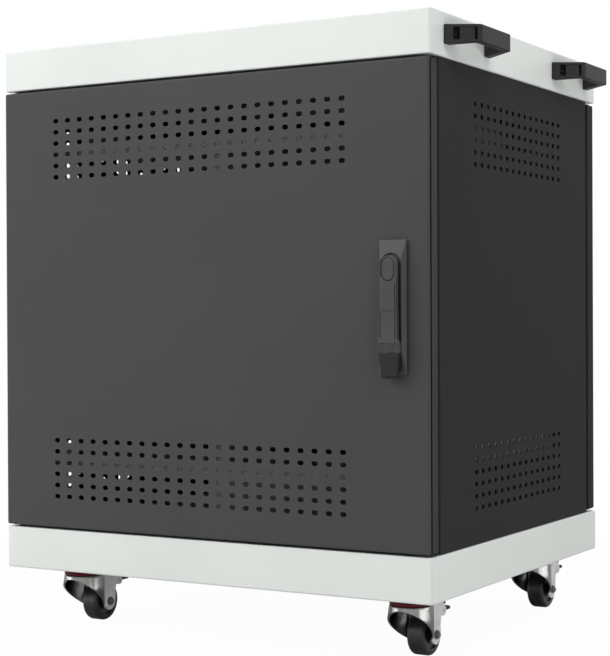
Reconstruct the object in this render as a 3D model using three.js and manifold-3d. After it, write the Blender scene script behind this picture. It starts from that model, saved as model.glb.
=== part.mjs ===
// A laptop charging cart: a sheet-metal cabinet on four braked swivel casters, with a perforated front
// door on pivot pins, a swing-handle lock, a rear door, device racks and a power strip inside.
// Millimetres, +Z up. The origin is on the floor under the middle of the cart, and the front faces -Y.

import * as THREE from 'three';
import { mergeVertices } from 'three/addons/utils/BufferGeometryUtils.js';
import { ConvexGeometry } from 'three/addons/geometries/ConvexGeometry.js';
import Module from 'manifold-3d';

const wasm = await Module();
wasm.setup();

// Cabinet
const CART_WIDTH = 600;
const CART_DEPTH = 510;
const CABINET_HEIGHT = 655;
const CAP_HEIGHT = 51;
const BASE_HEIGHT = 52;
const SHEET = 1.5;
const RIM_FLANGE = 24;
const CORNER_RADIUS = 4;
const GAP = 0.3;
const CUT_OVERRUN = 1;

// Doors
const DOOR_THICKNESS = 22;
const DOOR_PROUD = 2;
const REAR_DOOR_INSET = 2;
const DOOR_SIDE_INSET = 1.7;
const DOOR_END_GAP = 3;
const DOOR_BACK_GAP = 3.5;
const HINGE_FROM_EDGE = 8.3;
const HINGE_DEPTH = 10;
const PIN_RADIUS = 3;
const PIN_COLLAR_RADIUS = 6;
const PIN_REACH = 8;
const PIN_PLAY = 0.3;

// Side panels and corner posts
const PANEL_INSET = 2.5;
const PANEL_FLANGE = 18;
const POST_LEG = 24;

// Punched vent fields
const PUNCH_LENGTH = 8.4;
const PUNCH_HEIGHT = 5.8;
const PUNCH_PITCH = 18.5;
const PUNCH_ROW_PITCH = 14;
const FRONT_COLUMNS = 23;
const SIDE_COLUMNS = 15;
const FIELD_ROWS = 6;
const FIELD_FROM_MIDDLE = 199;
const FRONT_FIELD_SHIFT = -13.5;

// Decks, partition and device racks, with heights above the underside of the base
const LOWER_DECK_TOP = 141;
const UPPER_DECK_TOP = 528;
const DECK_LIP = 14;
const DECK_SETBACK = 14;
const PARTITION_GAUGE = 2;
const PARTITION_FLANGE = 13;
const RACK_GAUGE = 2;
const RACK_FINS = 8;
const RACK_FIN_HEIGHT = 150;
const RACK_DEPTH = 300;
const RACK_MARGIN = 7;

// Power strip, inlet and rocker switch
const STRIP_LENGTH = 440;
const STRIP_WIDTH = 56;
const STRIP_CROWN = 44;
const STRIP_HEIGHT = 38;
const STRIP_SOCKETS = 8;
const SOCKET_SIZE = 30;
const SOCKET_DEPTH = 4;
const STRIP_FROM_CENTRE = 110;
const INLET_X = 150;
const INLET_WIDTH = 48;
const INLET_HEIGHT = 27;
const INLET_DEPTH = 24;
const BEZEL_LIP = 5;
const BEZEL_GAUGE = 2.2;
const PLUG_WELL = [24, 17, 16];
const SWITCH_WELL = [14, 21, 9];
const ROCKER_THICKNESS = 5;
const ROCKER_TILT = 8;

// Swing-handle lock on the front door
const LOCK_FROM_SIDE = 44.5;
const SPINDLE_ABOVE_MIDDLE = 42.5;
const SPINDLE_RADIUS = 7;
const HOUSING_WIDTH = 34;
const HOUSING_FRONT_WIDTH = 27;
const HOUSING_RISE = 9;
const HOUSING_TOP = 30.5;
const HOUSING_BOTTOM = 117.5;
const HOUSING_TOP_SLOPE = 21;
const HOUSING_BOTTOM_SLOPE = 24;
const LEVER_THICKNESS = 6.7;
const LEVER_WIDTH = 20;
const LEVER_HEAD = 3.5;
const LEVER_LENGTH = 122.5;
const GRIP_WIDTH = 26;
const GRIP_TOP = 85;
const GRIP_TIP_WIDTH = 19;
const GRIP_RIDGES = 3;
const GRIP_RIDGE_PITCH = 2.6;
const GRIP_GROOVE_WIDTH = 1;
const GRIP_GROOVE_DEPTH = 0.7;
const BUTTON_WIDTH = 14;
const BUTTON_HEIGHT = 25;
const BUTTON_THICKNESS = 2.4;
const BUTTON_TRAVEL = 3;
const CAM_THICKNESS = 3;
const CAM_WIDTH = 16;
const CAM_STRIKE_GAP = 1.5;
const CAM_TAIL_RADIUS = 4;

// Barrel lock on the rear door
const REAR_LOCK_OUT = 8;
const BARREL_FLANGE_RADIUS = 13;
const BARREL_RADIUS = 9;
const BARREL_CHAMFER = 2;
const PLUG_RADIUS = 6;
const KEYWAY_WIDTH = 2;
const KEYWAY_DEPTH = 4;

// Bow handles on the cap
const HANDLE_LENGTH = 126;
const HANDLE_GRIP_LENGTH = 83.5;
const HANDLE_REACH = 37;
const HANDLE_HEIGHT = 25;
const HANDLE_GRIP_THICKNESS = 10;
const HANDLE_FOOT = 14;
const HANDLE_FROM_EDGE = 94.5;
const HANDLE_RISE = 11;
const HANDLE_BEVEL = 1.5;
const POCKET_HEIGHT = 17;
const POCKET_DEPTH = 5;
const POCKET_MARGIN = 7;

// Casters, with heights below the underside of the base
const CASTER_HEIGHT = 79;
const CASTER_INSET_X = 64;
const CASTER_INSET_Y = 74;
const PLATE_SIZE = 62;
const PLATE_GAUGE = 2.5;
const RACEWAY_RADIUS = 22;
const RACEWAY_HEIGHT = 7;
const SEAL_HEIGHT = 5;
const SEAL_RADIUS = 24.5;
const BELL_RADIUS = 27;
const FORK_GAUGE = 2.5;
const BELL_FRONT_HEIGHT = 4;
const KING_PIN_RADIUS = 5;
const KING_HEAD_RADIUS = 8;
const KING_HEAD_HEIGHT = 3;
const WHEEL_RADIUS = 25;
const WHEEL_WIDTH = 23;
const WHEEL_SIDES = 16;
const HUB_RECESS = 4;
const TYRE_DEPTH = 7;
const TYRE_LIP = 2;
const TYRE_SHOULDER = [1.4, 1.3];
const TYRE_SHOULDER_WIDTH = 5;
const TRAIL = 35;
const FORK_OUTSIDE = 16;
const LEG_RADIUS = 11.5;
const EAR_Y = 56;
const EAR_DROP = 29;
const EAR_RADIUS = 6;
const AXLE_RADIUS = 4.2;
const AXLE_HEAD_RADIUS = 6.5;
const AXLE_HEAD_LENGTH = 4.7;
const PEDAL_REACH = 80;
const PEDAL_HUB_RADIUS = 4.5;
const PEDAL_LOBE = 6.2;
const PEDAL_THICKNESS = 4;
const PEDAL_PIN_RADIUS = 2.2;
const PEDAL_PIN_PROUD = 1;
const PRONG_RISE = 10;
const PRONG_REACH = 11;
const PRONG_HEEL = 6;

// Levels and faces that follow from the sizes above
const FRONT_LOCK_OUT = DOOR_PROUD + HOUSING_RISE + GAP + LEVER_THICKNESS;
const Y_FRONT = -(CART_DEPTH + REAR_LOCK_OUT - FRONT_LOCK_OUT) / 2;
const Y_REAR = Y_FRONT + CART_DEPTH;
const Y_MIDDLE = (Y_FRONT + Y_REAR) / 2;
const Z_BASE = CASTER_HEIGHT;
const Z_BASE_TOP = Z_BASE + BASE_HEIGHT;
const Z_TOP = Z_BASE + CABINET_HEIGHT;
const Z_CAP = Z_TOP - CAP_HEIGHT;
const DOOR_WIDTH = CART_WIDTH - 2 * DOOR_SIDE_INSET;
const DOOR_BOTTOM = Z_BASE_TOP + DOOR_END_GAP;
const DOOR_TOP = Z_CAP - DOOR_END_GAP;
const DOOR_HEIGHT = DOOR_TOP - DOOR_BOTTOM;
const Z_MIDDLE = (DOOR_BOTTOM + DOOR_TOP) / 2;
const Y_DOOR_FACE = Y_FRONT - DOOR_PROUD;
const Y_REAR_FACE = Y_REAR - REAR_DOOR_INSET;
const Y_PANEL_FRONT = Y_DOOR_FACE + DOOR_THICKNESS + DOOR_BACK_GAP;
const Y_PANEL_REAR = Y_REAR_FACE - DOOR_THICKNESS - DOOR_BACK_GAP;
const X_PANEL = CART_WIDTH / 2 - PANEL_INSET;
const X_POST = X_PANEL - SHEET - GAP;
const Y_POST_FRONT = Y_PANEL_FRONT + SHEET + GAP;
const Y_POST_REAR = Y_PANEL_REAR - SHEET - GAP;
const Z_SPINDLE = Z_MIDDLE + SPINDLE_ABOVE_MIDDLE;
const LOCK_X = CART_WIDTH / 2 - LOCK_FROM_SIDE;
const Z_LOWER_DECK = Z_BASE + LOWER_DECK_TOP;
const Z_UPPER_DECK = Z_BASE + UPPER_DECK_TOP;

const finish = (color, roughness, metalness) =>
  new THREE.MeshStandardMaterial({ color, roughness, metalness, flatShading: true });
const charcoalPaint = finish(0x4a4b4c, 0.55, 0.1);
const lightGreyPaint = finish(0xdfe3df, 0.5, 0.1);
const blackPlastic = finish(0x2c2d2d, 0.5, 0);
const lockPlastic = finish(0x47484a, 0.45, 0);
const zincSteel = finish(0xb9b9b7, 0.3, 1);
const brightSteel = finish(0xd4d3d0, 0.18, 1);
const redSeal = finish(0x5a1620, 0.5, 0);
const blackRubber = finish(0x1f1f1f, 0.7, 0);

// Solids

function solid(geometry) {
  geometry.deleteAttribute('normal');
  geometry.deleteAttribute('uv');
  const merged = mergeVertices(geometry, 1e-4);
  const position = merged.attributes.position;
  const corner = [new THREE.Vector3(), new THREE.Vector3(), new THREE.Vector3()];
  const triVerts = [];
  let volume = 0;
  for (let i = 0; i < merged.index.count; i += 3) {
    const abc = [0, 1, 2].map((k) => merged.index.getX(i + k));
    if (new Set(abc).size < 3) continue;
    abc.forEach((v, k) => corner[k].fromBufferAttribute(position, v));
    volume += corner[0].dot(corner[1].clone().cross(corner[2]));
    triVerts.push(abc);
  }
  const outward = triVerts.map((abc) => (volume < 0 ? abc.reverse() : abc)).flat();
  return new wasm.Manifold(new wasm.Mesh({
    numProp: 3,
    vertProperties: Float32Array.from(position.array),
    triVerts: Uint32Array.from(outward),
  }));
}

function piece(name, body, material) {
  const { vertProperties, triVerts } = body.getMesh();
  const geometry = new THREE.BufferGeometry();
  geometry.setAttribute('position', new THREE.BufferAttribute(Float32Array.from(vertProperties), 3));
  geometry.setIndex(new THREE.BufferAttribute(Uint32Array.from(triVerts), 1));
  const mesh = new THREE.Mesh(geometry, material);
  mesh.name = name;
  return mesh;
}

function place(object, x, y, z, turn = 0) {
  object.position.set(x, y, z);
  object.rotation.z = turn;
  return object;
}

const X = new THREE.Vector3(1, 0, 0);
const Y = new THREE.Vector3(0, 1, 0);
const Z = new THREE.Vector3(0, 0, 1);

function extrude(shape, depth, steps, basis) {
  const geometry = new THREE.ExtrudeGeometry(shape, { depth, curveSegments: steps, bevelEnabled: false });
  return solid(geometry.applyMatrix4(basis));
}

// A prism along Z of a shape in (x, y), along X of a shape in (y, z), or along Y of a shape in (x, z)
const alongZ = (shape, low, high, steps = 3) =>
  extrude(shape, high - low, steps, new THREE.Matrix4().setPosition(0, 0, low));
const alongX = (shape, low, high, steps = 3) =>
  extrude(shape, high - low, steps, new THREE.Matrix4().makeBasis(Y, Z, X).setPosition(low, 0, 0));
const alongY = (shape, low, high, steps = 3) => {
  const basis = new THREE.Matrix4().makeBasis(X, Z, Y.clone().negate()).setPosition(0, high, 0);
  return extrude(shape, high - low, steps, basis);
};

function box(x, y, z) {
  const geometry = new THREE.BoxGeometry(x[1] - x[0], y[1] - y[0], z[1] - z[0]);
  return solid(geometry.translate((x[0] + x[1]) / 2, (y[0] + y[1]) / 2, (z[0] + z[1]) / 2));
}

function turned(profile, sides, basis = new THREE.Matrix4(), phase = 0) {
  const points = profile.map(([radius, height]) => new THREE.Vector2(radius, height));
  return solid(new THREE.LatheGeometry(points, sides, phase, 2 * Math.PI).applyMatrix4(basis));
}
const UPRIGHT = new THREE.Matrix4().makeRotationX(Math.PI / 2);
const CROSSWISE = new THREE.Matrix4().makeRotationZ(-Math.PI / 2);

const disc = (radius, u = 0, v = 0) => new THREE.Shape().absarc(u, v, radius, 0, 2 * Math.PI);
const outline = (points) => new THREE.Shape(points.map(([u, v]) => new THREE.Vector2(u, v)));
const rectangle = (u0, u1, v0, v1) => outline([[u0, v0], [u1, v0], [u1, v1], [u0, v1]]);

function roundedRectangle(width, height, radius) {
  const u = width / 2 - radius;
  const v = height / 2 - radius;
  const quarter = Math.PI / 2;
  return new THREE.Shape()
    .absarc(u, v, radius, 0, quarter)
    .absarc(-u, v, radius, quarter, 2 * quarter)
    .absarc(-u, -v, radius, 2 * quarter, 3 * quarter)
    .absarc(u, -v, radius, 3 * quarter, 4 * quarter);
}

const join = (solids) => wasm.Manifold.union(solids);

// A bore at (u, v) whose flats clear a pin of the given radius; it has twice as many sides as steps
const bore = (along, radius, u, v, low, high, steps = 4) =>
  along(disc((radius + PIN_PLAY) / Math.cos(Math.PI / (2 * steps)), u, v), low, high, steps);

// Cap and base: folded pans with their walls turned in along the open side

function pan(height, floorBelow) {
  const walls = alongZ(roundedRectangle(CART_WIDTH, CART_DEPTH, CORNER_RADIUS), 0, height, 1);
  const hollow = roundedRectangle(CART_WIDTH - 2 * SHEET, CART_DEPTH - 2 * SHEET, CORNER_RADIUS - SHEET);
  const mouth = rectangle(
    -CART_WIDTH / 2 + RIM_FLANGE, CART_WIDTH / 2 - RIM_FLANGE,
    -CART_DEPTH / 2 + RIM_FLANGE, CART_DEPTH / 2 - RIM_FLANGE);
  const open = floorBelow ? [SHEET, height + SHEET] : [-SHEET, height - SHEET];
  return walls
    .subtract(alongZ(hollow, SHEET, height - SHEET, 1))
    .subtract(alongZ(mouth, ...open));
}

const HINGES = {
  front: { x: -DOOR_WIDTH / 2 + HINGE_FROM_EDGE, y: Y_DOOR_FACE + HINGE_DEPTH },
  rear: { x: DOOR_WIDTH / 2 - HINGE_FROM_EDGE, y: Y_REAR_FACE - HINGE_DEPTH },
};

function hingeHoles(low, high) {
  return join(Object.values(HINGES).map(({ x, y }) =>
    bore(alongZ, PIN_RADIUS, x, y - Y_MIDDLE, low, high)));
}

function baseTray() {
  const inletHole = rectangle(
    INLET_X - INLET_WIDTH / 2 - GAP, INLET_X + INLET_WIDTH / 2 + GAP,
    (BASE_HEIGHT - INLET_HEIGHT) / 2 - GAP, (BASE_HEIGHT + INLET_HEIGHT) / 2 + GAP);
  const tray = pan(BASE_HEIGHT, true)
    .subtract(hingeHoles(BASE_HEIGHT - 2 * SHEET, BASE_HEIGHT + SHEET))
    .subtract(alongY(inletHole, CART_DEPTH / 2 - 2 * SHEET, CART_DEPTH / 2 + SHEET));
  return place(piece('base_tray', tray, lightGreyPaint), 0, Y_MIDDLE, Z_BASE);
}

function topCover() {
  const cover = pan(CAP_HEIGHT, false).subtract(hingeHoles(-SHEET, 2 * SHEET));
  return place(piece('top_cover', cover, lightGreyPaint), 0, Y_MIDDLE, Z_CAP);
}

function hingePin(name, { x, y }, seat, end) {
  const middle = (seat + end) / 2;
  const collar = (Math.abs(end - seat) / 2) - GAP;
  const reach = Math.abs(end - seat) / 2 + PIN_REACH;
  const pin = turned([
    [0, -reach], [PIN_RADIUS, -reach], [PIN_RADIUS, -collar], [PIN_COLLAR_RADIUS, -collar],
    [PIN_COLLAR_RADIUS, collar], [PIN_RADIUS, collar], [PIN_RADIUS, reach], [0, reach],
  ], 6, UPRIGHT);
  return place(piece(name, pin, zincSteel), x, y, middle);
}

// Sheets with punched vents

function ventField(columns, across, level, punch) {
  const holes = [];
  for (let row = 0; row < FIELD_ROWS; row += 1) {
    for (let column = 0; column < columns; column += 1) {
      const u = across + (column - (columns - 1) / 2) * PUNCH_PITCH;
      const z = level + (row - (FIELD_ROWS - 1) / 2) * PUNCH_ROW_PITCH;
      holes.push(punch(
        [u - PUNCH_LENGTH / 2, u + PUNCH_LENGTH / 2], [z - PUNCH_HEIGHT / 2, z + PUNCH_HEIGHT / 2]));
    }
  }
  return holes;
}

const bothFields = (columns, across, middle, punch) => [-1, 1].flatMap((end) =>
  ventField(columns, across, middle + end * FIELD_FROM_MIDDLE, punch));

// A door leaf: face at y = 0 looking to -Y, folded edges behind it, bottom at z = 0, hinge on the left
function doorLeaf(cuts) {
  const half = DOOR_WIDTH / 2;
  const leaf = box([-half, half], [0, DOOR_THICKNESS], [0, DOOR_HEIGHT]);
  const hollow = box(
    [SHEET - half, half - SHEET], [SHEET, DOOR_THICKNESS + SHEET], [SHEET, DOOR_HEIGHT - SHEET]);
  const pinHoles = [0, DOOR_HEIGHT].map((edge) =>
    bore(alongZ, PIN_RADIUS, HINGE_FROM_EDGE - half, HINGE_DEPTH, edge - 2 * SHEET, edge + 2 * SHEET));
  return leaf.subtract(hollow).subtract(join([...pinHoles, ...cuts]));
}

function frontDoor() {
  const vents = bothFields(FRONT_COLUMNS, FRONT_FIELD_SHIFT, DOOR_HEIGHT / 2,
    (x, z) => box(x, [-SHEET, 2 * SHEET], z));
  const spindleHole = bore(alongY, SPINDLE_RADIUS, LOCK_X, DOOR_HEIGHT / 2 + SPINDLE_ABOVE_MIDDLE,
    -SHEET, 2 * SHEET);
  const leaf = doorLeaf([...vents, spindleHole]);
  return place(piece('front_door', leaf, charcoalPaint), 0, Y_DOOR_FACE, DOOR_BOTTOM);
}

function rearDoor() {
  const barrelHole = bore(alongY, BARREL_RADIUS, LOCK_X, DOOR_HEIGHT / 2, -SHEET, 2 * SHEET);
  const leaf = doorLeaf([barrelHole]);
  return place(piece('rear_door', leaf, charcoalPaint), 0, Y_REAR_FACE, DOOR_BOTTOM, Math.PI);
}

// A side panel: outer face at x = 0 looking to +X, with its front and rear edges turned in
function sidePanel(name, side, vents) {
  const low = Z_BASE_TOP + GAP;
  const high = Z_CAP - GAP;
  const [first, last] = side > 0 ? [Y_PANEL_FRONT, Y_PANEL_REAR] : [-Y_PANEL_REAR, -Y_PANEL_FRONT];
  const channel = outline([
    [0, first], [0, last], [-PANEL_FLANGE, last], [-PANEL_FLANGE, last - SHEET],
    [-SHEET, last - SHEET], [-SHEET, first + SHEET], [-PANEL_FLANGE, first + SHEET], [-PANEL_FLANGE, first],
  ]);
  const panel = alongZ(channel, low, high);
  const punched = vents.length > 0 ? panel.subtract(join(vents)) : panel;
  return place(piece(name, punched, charcoalPaint), side * X_PANEL, 0, 0, side > 0 ? 0 : Math.PI);
}

function cornerPost(name, side, end) {
  const y = end < 0 ? Y_POST_FRONT : Y_POST_REAR;
  const x = side * X_POST;
  const post = outline([
    [x, y], [x - side * POST_LEG, y], [x - side * POST_LEG, y - end * SHEET],
    [x - side * SHEET, y - end * SHEET], [x - side * SHEET, y - end * POST_LEG], [x, y - end * POST_LEG],
  ]);
  return piece(name, alongZ(post, Z_BASE_TOP + GAP, Z_CAP - GAP), charcoalPaint);
}

// Inside: decks hung between the posts, a partition, racks and a power strip

const DECK_HALF = X_POST - SHEET - GAP;
const DECK_ENDS = [Y_POST_FRONT + DECK_SETBACK, Y_POST_REAR - DECK_SETBACK];

function deck(name, top) {
  const [front, rear] = DECK_ENDS;
  const channel = outline([
    [front, -DECK_LIP], [front + SHEET, -DECK_LIP], [front + SHEET, -SHEET], [rear - SHEET, -SHEET],
    [rear - SHEET, -DECK_LIP], [rear, -DECK_LIP], [rear, 0], [front, 0],
  ]);
  return place(piece(name, alongX(channel, -DECK_HALF, DECK_HALF), lightGreyPaint), 0, 0, top);
}

function centrePartition() {
  const half = PARTITION_GAUGE / 2;
  const front = DECK_ENDS[0] + 2 * SHEET;
  const rear = DECK_ENDS[1] - 2 * SHEET;
  const flange = -half - PARTITION_FLANGE;
  const folded = outline([
    [flange, front], [half, front], [half, rear], [-half, rear],
    [-half, front + PARTITION_GAUGE], [flange, front + PARTITION_GAUGE],
  ]);
  const sheet = alongZ(folded, Z_LOWER_DECK + GAP, Z_UPPER_DECK - SHEET - GAP);
  return piece('centre_partition', sheet, lightGreyPaint);
}

// A rack: a foot strip with upright fins, folded as one comb, standing on the lower deck
function deviceRack(name, side) {
  const width = DECK_HALF - PARTITION_GAUGE / 2 - 2 * RACK_MARGIN;
  const pitch = (width - RACK_GAUGE) / (RACK_FINS - 1);
  const comb = [[0, 0], [width, 0]];
  for (let fin = RACK_FINS - 1; fin >= 0; fin -= 1) {
    const left = fin * pitch;
    if (fin < RACK_FINS - 1) comb.push([left + RACK_GAUGE, RACK_GAUGE]);
    comb.push([left + RACK_GAUGE, RACK_FIN_HEIGHT], [left, RACK_FIN_HEIGHT]);
    if (fin > 0) comb.push([left, RACK_GAUGE]);
  }
  const rack = alongY(outline(comb), -RACK_DEPTH / 2, RACK_DEPTH / 2);
  const inner = PARTITION_GAUGE / 2 + RACK_MARGIN;
  return place(piece(name, rack, zincSteel), side > 0 ? inner : -inner - width, Y_MIDDLE, Z_LOWER_DECK + GAP);
}

function powerStrip() {
  const half = STRIP_LENGTH / 2;
  const section = outline([
    [-STRIP_WIDTH / 2, 0], [STRIP_WIDTH / 2, 0],
    [STRIP_CROWN / 2, STRIP_HEIGHT], [-STRIP_CROWN / 2, STRIP_HEIGHT],
  ]);
  const pitch = STRIP_LENGTH / STRIP_SOCKETS;
  const sockets = [];
  for (let i = 0; i < STRIP_SOCKETS; i += 1) {
    const x = (i + 0.5) * pitch - half;
    sockets.push(box([x - SOCKET_SIZE / 2, x + SOCKET_SIZE / 2], [-SOCKET_SIZE / 2, SOCKET_SIZE / 2],
      [STRIP_HEIGHT - SOCKET_DEPTH, STRIP_HEIGHT + SOCKET_DEPTH]));
  }
  const strip = alongX(section, -half, half).subtract(join(sockets));
  const y = Y_MIDDLE + STRIP_FROM_CENTRE;
  return place(piece('power_strip', strip, blackPlastic), 0, y, Z_UPPER_DECK + GAP);
}

// Mains inlet in the rear wall of the base: wall face at y = 0, looking to +Y, with a rocker switch
const well = ([width, height, depth], x) =>
  box([x - width / 2, x + width / 2], [BEZEL_GAUGE + GAP - depth, 2 * BEZEL_GAUGE], [-height / 2, height / 2]);
const PLUG_X = -(INLET_WIDTH - PLUG_WELL[0]) / 2 + BEZEL_GAUGE;
const ROCKER_X = (INLET_WIDTH - SWITCH_WELL[0]) / 2 - BEZEL_GAUGE;

function mainsInlet() {
  const w = INLET_WIDTH / 2;
  const h = INLET_HEIGHT / 2;
  const bezel = box(
    [-w - BEZEL_LIP, w + BEZEL_LIP], [GAP, GAP + BEZEL_GAUGE], [-h - BEZEL_LIP, h + BEZEL_LIP]);
  const housing = box([-w, w], [-INLET_DEPTH, GAP + BEZEL_GAUGE], [-h, h]);
  const inlet = bezel.add(housing).subtract(well(PLUG_WELL, PLUG_X)).subtract(well(SWITCH_WELL, ROCKER_X));
  return piece('mains_inlet', inlet, blackPlastic);
}

function rockerSwitch() {
  const halfWidth = SWITCH_WELL[0] / 2 - GAP;
  const halfHeight = SWITCH_WELL[1] / 2 - 2 * GAP;
  const shallow = ROCKER_THICKNESS / 2;
  const section = outline([
    [-shallow, -halfHeight], [shallow, -halfHeight], [shallow / 2, 0],
    [shallow, halfHeight], [-shallow, halfHeight],
  ]);
  const rocker = piece('rocker_switch', alongX(section, -halfWidth, halfWidth), blackPlastic);
  rocker.position.set(ROCKER_X, 0, 0);
  rocker.rotation.x = THREE.MathUtils.degToRad(ROCKER_TILT);
  return rocker;
}

function powerInlet() {
  const group = new THREE.Group();
  group.add(mainsInlet(), rockerSwitch());
  return place(group, INLET_X, Y_REAR, Z_BASE + BASE_HEIGHT / 2);
}

// Swing-handle lock: local origin where the spindle's axis meets the door's face

function lockHousing() {
  const rect = (width, low, high, y) => [
    [-width / 2, low], [width / 2, low], [width / 2, high], [-width / 2, high],
  ].map(([x, z]) => new THREE.Vector3(x, y, z));
  const foot = rect(HOUSING_WIDTH, -HOUSING_BOTTOM, HOUSING_TOP, -GAP);
  const front = rect(HOUSING_FRONT_WIDTH,
    HOUSING_BOTTOM_SLOPE - HOUSING_BOTTOM, HOUSING_TOP - HOUSING_TOP_SLOPE, -HOUSING_RISE);
  const wedge = solid(new ConvexGeometry([...foot, ...front]));
  const spindleBore = bore(alongY, SPINDLE_RADIUS, 0, 0, -2 * HOUSING_RISE, HOUSING_RISE);
  return piece('lock_housing', wedge.subtract(spindleBore), lockPlastic);
}

// The cam lies behind the post's lip and stops just short of it
const Y_CAM = Y_POST_FRONT + SHEET + GAP - Y_DOOR_FACE;
const CAM_REACH = X_POST - POST_LEG - CAM_STRIKE_GAP - LOCK_X;

function lockSpindle() {
  const tail = Y_CAM + CAM_THICKNESS + 2 * GAP;
  const spindle = turned([
    [0, -HOUSING_RISE], [SPINDLE_RADIUS, -HOUSING_RISE], [SPINDLE_RADIUS, Y_CAM - GAP],
    [CAM_TAIL_RADIUS, Y_CAM - GAP], [CAM_TAIL_RADIUS, tail], [0, tail],
  ], 12);
  return piece('lock_spindle', spindle, zincSteel);
}

function camPlate(name, low, reach, tailRadius) {
  const half = CAM_WIDTH / 2;
  const plate = new THREE.Shape()
    .absarc(0, 0, half, Math.PI / 2, 3 * Math.PI / 2)
    .lineTo(reach, -half / 2)
    .lineTo(reach, half / 2);
  const cam = alongY(plate, low, low + CAM_THICKNESS, 3)
    .subtract(bore(alongY, tailRadius, 0, 0, low - CAM_THICKNESS, low + 2 * CAM_THICKNESS));
  return piece(name, cam, zincSteel);
}

const Y_LEVER_BACK = -HOUSING_RISE - GAP;
const Y_LEVER_FRONT = Y_LEVER_BACK - LEVER_THICKNESS;
const BUTTON_Z = LEVER_HEAD + LEVER_WIDTH / 2 - BUTTON_HEIGHT / 2 - (LEVER_WIDTH - BUTTON_WIDTH) / 2;

function oval(width, height, z) {
  const straight = (height - width) / 2;
  return new THREE.Shape()
    .absarc(0, z + straight, width / 2, 0, Math.PI)
    .absarc(0, z - straight, width / 2, Math.PI, 2 * Math.PI);
}

function lockLever() {
  const half = LEVER_WIDTH / 2;
  const ridges = GRIP_RIDGES * GRIP_RIDGE_PITCH;
  const plan = new THREE.Shape()
    .absarc(0, LEVER_HEAD, half, 0, Math.PI)
    .lineTo(-half, -GRIP_TOP + ridges)
    .lineTo(-GRIP_WIDTH / 2, -GRIP_TOP)
    .lineTo(-GRIP_WIDTH / 2, -GRIP_TOP - ridges)
    .lineTo(-GRIP_TIP_WIDTH / 2, -LEVER_LENGTH)
    .lineTo(GRIP_TIP_WIDTH / 2, -LEVER_LENGTH)
    .lineTo(GRIP_WIDTH / 2, -GRIP_TOP - ridges)
    .lineTo(GRIP_WIDTH / 2, -GRIP_TOP)
    .lineTo(half, -GRIP_TOP + ridges);
  const blank = alongY(plan, Y_LEVER_FRONT, Y_LEVER_BACK, 4);
  const pocketFloor = Y_LEVER_FRONT + BUTTON_THICKNESS + BUTTON_TRAVEL + GAP;
  const pocket = alongY(oval(BUTTON_WIDTH + 2 * GAP, BUTTON_HEIGHT + 2 * GAP, BUTTON_Z),
    Y_LEVER_FRONT - CUT_OVERRUN, pocketFloor, 3);
  const headTop = LEVER_HEAD + half;
  const heel = alongX(outline([
    [Y_LEVER_BACK, headTop - half / 2], [Y_LEVER_BACK + CUT_OVERRUN, headTop - half / 2],
    [Y_LEVER_BACK + CUT_OVERRUN, headTop + CUT_OVERRUN], [Y_LEVER_BACK - half / 3, headTop + CUT_OVERRUN],
  ]), -half, half);
  const grooves = [];
  for (let i = 0; i < GRIP_RIDGES; i += 1) {
    const z = -GRIP_TOP - i * GRIP_RIDGE_PITCH;
    grooves.push(box([-GRIP_WIDTH, GRIP_WIDTH],
      [Y_LEVER_FRONT - CUT_OVERRUN, Y_LEVER_FRONT + GRIP_GROOVE_DEPTH], [z - GRIP_GROOVE_WIDTH, z]));
  }
  return piece('lock_lever', blank.subtract(join([pocket, heel, ...grooves])), lockPlastic);
}

function lockButton() {
  const button = alongY(oval(BUTTON_WIDTH, BUTTON_HEIGHT, BUTTON_Z),
    Y_LEVER_FRONT, Y_LEVER_FRONT + BUTTON_THICKNESS, 3);
  return piece('lock_button', button, lockPlastic);
}

function swingHandleLock() {
  const group = new THREE.Group();
  group.add(lockHousing(), lockSpindle(), camPlate('lock_cam', Y_CAM, CAM_REACH, CAM_TAIL_RADIUS),
    lockLever(), lockButton());
  return place(group, LOCK_X, Y_DOOR_FACE, Z_SPINDLE);
}

// Barrel lock of the rear door: the same local frame, turned half round with its door
const REAR_OUT = REAR_LOCK_OUT + REAR_DOOR_INSET;
const Y_REAR_CAM = Y_REAR_FACE - (Y_POST_REAR - SHEET - GAP);

function rearLock() {
  const flange = REAR_OUT - 2 * GAP - SHEET;
  const sides = 10;
  const inside = (PLUG_RADIUS + PIN_PLAY) / Math.cos(Math.PI / sides);
  const end = Y_REAR_CAM - 2 * GAP - SHEET;
  const body = turned([
    [inside, -flange], [BARREL_FLANGE_RADIUS - BARREL_CHAMFER, -flange],
    [BARREL_FLANGE_RADIUS, BARREL_CHAMFER - flange], [BARREL_FLANGE_RADIUS, -GAP],
    [BARREL_RADIUS, -GAP], [BARREL_RADIUS, end], [inside, end], [inside, -flange],
  ], sides);
  const tailRadius = PLUG_RADIUS / 2;
  const tail = Y_REAR_CAM + CAM_THICKNESS + 2 * GAP;
  const plug = turned([
    [0, -REAR_OUT], [PLUG_RADIUS, -REAR_OUT], [PLUG_RADIUS, Y_REAR_CAM - GAP],
    [tailRadius, Y_REAR_CAM - GAP], [tailRadius, tail], [0, tail],
  ], 8);
  const keyway = box([-KEYWAY_WIDTH / 2, KEYWAY_WIDTH / 2], [-REAR_OUT - CUT_OVERRUN, KEYWAY_DEPTH - REAR_OUT],
    [-PLUG_RADIUS / 2, PLUG_RADIUS / 2]);
  const group = new THREE.Group();
  group.add(
    piece('rear_lock_barrel', body, zincSteel),
    piece('rear_lock_plug', plug.subtract(keyway), zincSteel),
    camPlate('rear_lock_cam', Y_REAR_CAM, CAM_REACH, tailRadius));
  return place(group, -LOCK_X, Y_REAR_FACE, Z_MIDDLE, Math.PI);
}

// Bow handle: feet on the wall at x = 0, reaching to +X

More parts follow.
